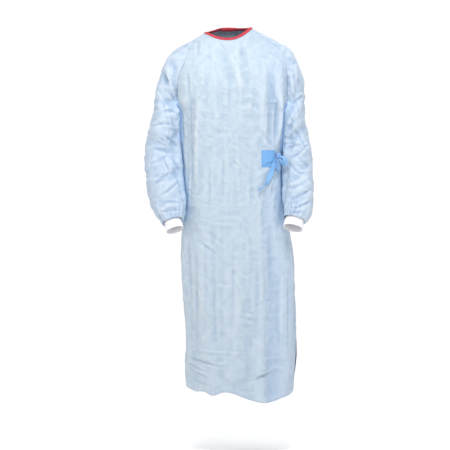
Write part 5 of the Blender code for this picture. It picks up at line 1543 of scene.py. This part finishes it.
class GOWN_OT_patch(bpy.types.Operator):
    """The square of cloth that holds the tie on the front, with its stitched border"""

    bl_idname = "gown.patch"
    bl_label = "Tie patch"

    def execute(self, context):
        colour = tuple(context.scene.gown_trim.tie_colour)
        made = add_mesh("patch", *patch_mesh(), tie_paint("tie_cloth", colour))
        dress(made, "tie_cloth", "tie_patch")
        x0, x1 = PATCH["x"][0] + PATCH_BORDER, PATCH["x"][1] - PATCH_BORDER
        z0, z1 = PATCH["z"][0] - PATCH_BORDER, PATCH["z"][1] + PATCH_BORDER
        corners = [(x0, z0), (x1, z0), (x1, z1), (x0, z1), (x0, z0)]
        line, outs = [], []
        for (xa, za), (xb, zb) in zip(corners, corners[1:], strict=False):
            for share in np.linspace(0, 1, 20):
                spot, normal, _ = surface().front(xa + (xb - xa) * share, za + (zb - za) * share)
                line.append(spot + normal * (ON_CLOTH + PATCH_THICK))
                outs.append(normal)
        thread = thread_paint(shade(colour, 0.85))
        stitches = add_mesh("patch_stitches", *stitch_run(line, outs, radius=0.00025), thread)
        dress(stitches, "tie_cloth")
        return {"FINISHED"}


def patch_mesh():
    """The panel's own points moved out, with rounded edges and the border pressed by its stitches."""
    rows, columns, edge_round, groove, groove_half = 34, 30, 0.0016, 0.0004, 0.0009
    low, high = [], []
    (x0, x1), (z0, z1) = PATCH["x"], PATCH["z"]
    wide, tall = 0.049, 0.060
    for v in np.linspace(0, 1, rows + 1):
        for u in np.linspace(0, 1, columns + 1):
            spot, normal, _ = surface().front(x0 + (x1 - x0) * u, z0 + (z1 - z0) * v)
            rim = min(u * wide, (1 - u) * wide, v * tall, (1 - v) * tall)
            up = PATCH_THICK * (0.45 + 0.55 * ease(rim / edge_round))
            up -= groove * math.exp(-(((rim - PATCH_BORDER) / groove_half) ** 2))
            low.append(spot + normal * (ON_CLOTH * 0.4))
            high.append(spot + normal * (ON_CLOTH * 0.4 + up))
    count = len(low)
    sheet = grid_faces(rows + 1, columns + 1)
    faces = [tuple(i + count for i in f[::-1]) for f in sheet] + list(sheet)
    ring = list(range(columns + 1))
    ring += [(k + 1) * (columns + 1) - 1 for k in range(1, rows + 1)]
    ring += [rows * (columns + 1) + c for c in range(columns - 1, -1, -1)]
    ring += [k * (columns + 1) for k in range(rows - 1, 0, -1)]
    for a, b in zip(ring, ring[1:] + ring[:1], strict=True):
        faces.append((a, b, b + count, a + count))
    points = np.array(low + high)
    a, b, c = (points[i] for i in faces[0][:3])
    if np.cross(b - a, c - a)[1] > 0:
        faces = [f[::-1] for f in faces]
    return points, faces


class GOWN_OT_ties(bpy.types.Operator):
    """The belt round the side, the knot, its two loops and its free end"""

    bl_idname = "gown.ties"
    bl_label = "Ties"

    def execute(self, context):
        paint = tie_paint("tie_strip", tuple(context.scene.gown_trim.strip_colour))
        for name, sections in (("belt", belt_sections()), ("tail", tail_sections())):
            made = add_mesh("tie_" + name, *lofted(sections), paint)
            dress(made, "tie_cloth", name)
            declare_strip(sections)
        for name, rows, tilt in (("loop_side", LOOP_SIDE, 0.85), ("loop_low", LOOP_LOW, 0.55)):
            sections = loop_sections(rows, 70, tilt)
            made = add_mesh("tie_" + name, *lofted(sections), paint)
            dress(made, "tie_cloth", name)
            declare_strip(sections)
        made = add_mesh("tie_knot", *knot_mesh(), paint)
        dress(made, "tie_cloth", "knot")
        return {"FINISHED"}


def declare_strip(sections):
    """Works out a strip's width from its own sections, but leaves it unused."""
    wide = float(np.mean([np.linalg.norm(s - s.mean(axis=0), axis=1).max() * 2 for s in sections]))


def belt_sections():
    turns = np.radians(np.linspace(BELT["start"], BELT["end"], BELT["count"]))
    places = [surface().round(turn, BELT["z"]) for turn in turns]
    step_at = min(turn for turn, place in zip(turns, places, strict=True) if place[2] == "back_right")
    line, outs = [], []
    for turn, (spot, normal, panel) in zip(turns, places, strict=True):
        outs.append(unit(normal * [1, 1, 0]))
        step = (LAP_LIFT + CLOTH) * ease((turn - step_at) / BELT["step"] + 1) if panel != "back_right" else 0
        rise = BELT_RISE["lift"] * ease((turns[-1] - turn) / BELT_RISE["turn"] + 1)
        line.append(spot + outs[-1] * (ON_CLOTH + BELT["clear"] + step + rise))
    wides = np.tile([0.0, 0.0, 1.0], (len(line), 1))
    return strip(np.array(line), np.array(outs), wides, BELT["half"])


def loop_sections(rows, count, tilt):
    """A loop of the bow, seen through from the front: its strip's width runs out from the cloth."""
    spots = []
    for x, z, out in smooth_line(rows, count):
        spot, _, _ = surface().front(KNOT["x"], z)
        spots.append([x, spot[1] - out, z])
    spots = np.array(spots)
    inward = unit(spots.mean(axis=0) - spots) * [1, 0, 1]
    wides = unit(np.array([0.0, 1.0, 0.0]) * math.cos(tilt) - inward * math.sin(tilt))
    outs = unit(np.cross(np.gradient(spots, axis=0), wides))
    widths = TIE_WIDTH / 2 * (0.6 + 0.4 * np.sin(np.linspace(0, math.pi, count)))
    return strip(spots, outs, wides, widths)


def tail_half(share):
    """Half the tail's width, at a share of its length."""
    return TIE_WIDTH / 2 * (0.72 + 0.50 * ease(share / 0.2) - 0.40 * ease((share - 0.4) / 0.5))


def tail_sections():
    """The free end: flat below the knot, and turned edge-on towards its tip."""
    count = 90
    line, outs, wides = [], [], []
    rows = smooth_line(TAIL, count)
    ways = unit(np.gradient(rows[:, :2], axis=0))
    for k, (x, z, out) in enumerate(rows):
        spot, normal, _ = surface().front(x, z)
        share = k / (count - 1)
        twist = TAIL_TWIST * ease((share - 0.5) / 0.4)
        along = unit(np.array([ways[k][0], 0, ways[k][1]]))
        flat = unit(normal - along * (normal @ along))
        across = np.cross(along, flat)
        width = tail_half(share)
        line.append(spot + normal * (out + math.sin(twist) * width))
        wides.append(unit(across * math.cos(twist) + flat * math.sin(twist)))
        outs.append(unit(flat * math.cos(twist) - across * math.sin(twist)))
    shares = np.linspace(0, 1, count)
    widths = tail_half(shares)
    return strip(np.array(line), np.array(outs), np.array(wides), widths)


def knot_mesh():
    """The knot: a lump with the crossing of the tie's turns raised in it."""
    spot, normal, _ = surface().front(KNOT["x"], KNOT["z"])
    centre = spot + normal * KNOT["out"]
    count, rings = KNOT["segments"], KNOT["rings"]
    points = [centre + [0, 0, KNOT["half"][2]]]
    for k in range(1, rings):
        tilt = math.pi * k / rings
        for c in range(count):
            turn = 2 * math.pi * c / count
            way = np.array([math.sin(tilt) * math.cos(turn), math.sin(tilt) * math.sin(turn), math.cos(tilt)])
            band = way[2] - 0.5 * way[0]
            cross = way[0] + 0.7 * way[2] - 0.3
            groove = 0.26 * math.exp(-((band / 0.16) ** 2)) + 0.20 * math.exp(-((cross / 0.11) ** 2))
            pleats = 0.085 * math.sin(13 * way[0] + 4 * way[2]) * math.sin(tilt)
            points.append(centre + way * KNOT["half"] * (1 - groove + pleats))
    points.append(centre - [0, 0, KNOT["half"][2]])
    faces = [(0, 1 + c, 1 + (c + 1) % count) for c in range(count)]
    for k in range(rings - 2):
        for c in range(count):
            a, b = 1 + k * count + c, 1 + k * count + (c + 1) % count
            faces.append((a, a + count, b + count, b))
    last, base = len(points) - 1, 1 + (rings - 2) * count
    faces += [(last, base + (c + 1) % count, base + c) for c in range(count)]
    return np.array(points), faces


class GOWN_OT_stage(bpy.types.Operator):
    """Pale floor and backdrop, soft light and the camera"""

    bl_idname = "gown.stage"
    bl_label = "Stage"

    def execute(self, context):
        settings = context.scene.gown_stage
        make_floor(settings.floor_glow)
        make_world(settings.world_strength)
        for name, (place, target, size, colour) in LIGHTS.items():
            make_light(name, place, target, size, getattr(settings, name + "_power"), colour)
        data = bpy.data.cameras.new("camera")
        data.lens, data.sensor_width = CAMERA["lens"], CAMERA["sensor"]
        camera = bpy.data.objects.new("camera", data)
        camera.location = CAMERA["place"]
        camera.rotation_euler = (math.pi / 2, 0, 0)
        context.scene.collection.objects.link(camera)
        context.scene.camera = camera
        context.scene.view_settings.view_transform = "Standard"
        return {"FINISHED"}


def make_floor(glow):
    """A white floor that glows a little and fades out into the backdrop."""
    bpy.ops.object.select_all(action="DESELECT")
    bpy.ops.mesh.primitive_plane_add(size=9, location=(0, 0, FLOOR_Z))
    floor = bpy.context.object
    floor.name = "floor"
    bpy.ops.object.transform_apply(location=True)
    paint = Paint("floor_white", (0.92, 0.92, 0.93), 0.7)
    paint.shader.inputs["Emission Color"].default_value = (1, 1, 1, 1)
    paint.shader.inputs["Emission Strength"].default_value = glow
    paint.feed("Roughness", paint.noise(3.0, 2.0) * 0.1 + 0.65)
    flat = paint.add("ShaderNodeMapping", {}, paint.place, Scale=(1, 1, 0))
    away = paint.add("ShaderNodeVectorMath", {"operation": "LENGTH"}, flat, output="Value")
    paint.feed("Alpha", paint.ramp(away, 0.3, 1.1, 1.0, 0.0))
    floor.data.materials.append(paint.material)


def make_world(strength):
    """An even pale sky, white at the horizon and below it."""
    world = bpy.data.worlds.new("studio")
    nodes = Nodes(world)
    background = nodes.tree.nodes["Background"]
    background.inputs["Color"].default_value = (1.0, 1.0, 1.0, 1)
    place = nodes.add("ShaderNodeTexCoord", {}, output="Generated")
    height = nodes.add("ShaderNodeSeparateXYZ", {}, place, output="Z")
    light = nodes.ramp(height, 0.14, 0.34, 1.05, strength)
    nodes.tree.links.new(light.socket, background.inputs["Strength"])
    bpy.context.scene.world = world


def make_light(name, place, target, size, power, colour):
    data = bpy.data.lights.new(name, "AREA")
    data.color = colour
    data.shape, data.size, data.energy = "SQUARE", size, power
    light = bpy.data.objects.new(name, data)
    light.location = place
    way = np.array(target, float) - np.array(place, float)
    flat = math.hypot(way[0], way[1])
    light.rotation_euler = (math.atan2(flat, -way[2]), 0, math.atan2(way[1], way[0]) - math.pi / 2)
    bpy.context.scene.collection.objects.link(light)


class GOWN_PT_sidebar(bpy.types.Panel):
    """The gown's steps and settings"""

    bl_label = "Surgical gown"
    bl_idname = "GOWN_PT_sidebar"
    bl_space_type = "VIEW_3D"
    bl_region_type = "UI"
    bl_category = "Gown"

    def draw(self, context):
        for group in (context.scene.gown, context.scene.gown_trim, context.scene.gown_stage):
            for name in group.__annotations__:
                self.layout.prop(group, name)
        for step in STEPS:
            self.layout.operator(step.bl_idname)


GROUPS = {"gown": GownSettings, "gown_trim": TrimSettings, "gown_stage": StageSettings}
STEPS = (GOWN_OT_panels, GOWN_OT_binding, GOWN_OT_cuffs, GOWN_OT_patch, GOWN_OT_ties, GOWN_OT_stage)


def register():
    for name, group in GROUPS.items():
        bpy.utils.register_class(group)
        setattr(bpy.types.Scene, name, bpy.props.PointerProperty(type=group))
    for step in (*STEPS, GOWN_PT_sidebar):
        bpy.utils.register_class(step)


def unregister():
    for step in (*STEPS, GOWN_PT_sidebar):
        bpy.utils.unregister_class(step)
    for name, group in GROUPS.items():
        delattr(bpy.types.Scene, name)
        bpy.utils.unregister_class(group)


def main():
    register()
    bpy.ops.gown.panels()
    bpy.ops.gown.binding()
    bpy.ops.gown.cuffs()
    bpy.ops.gown.patch()
    bpy.ops.gown.ties()
    bpy.ops.gown.stage()


if __name__ == "__main__":
    main()
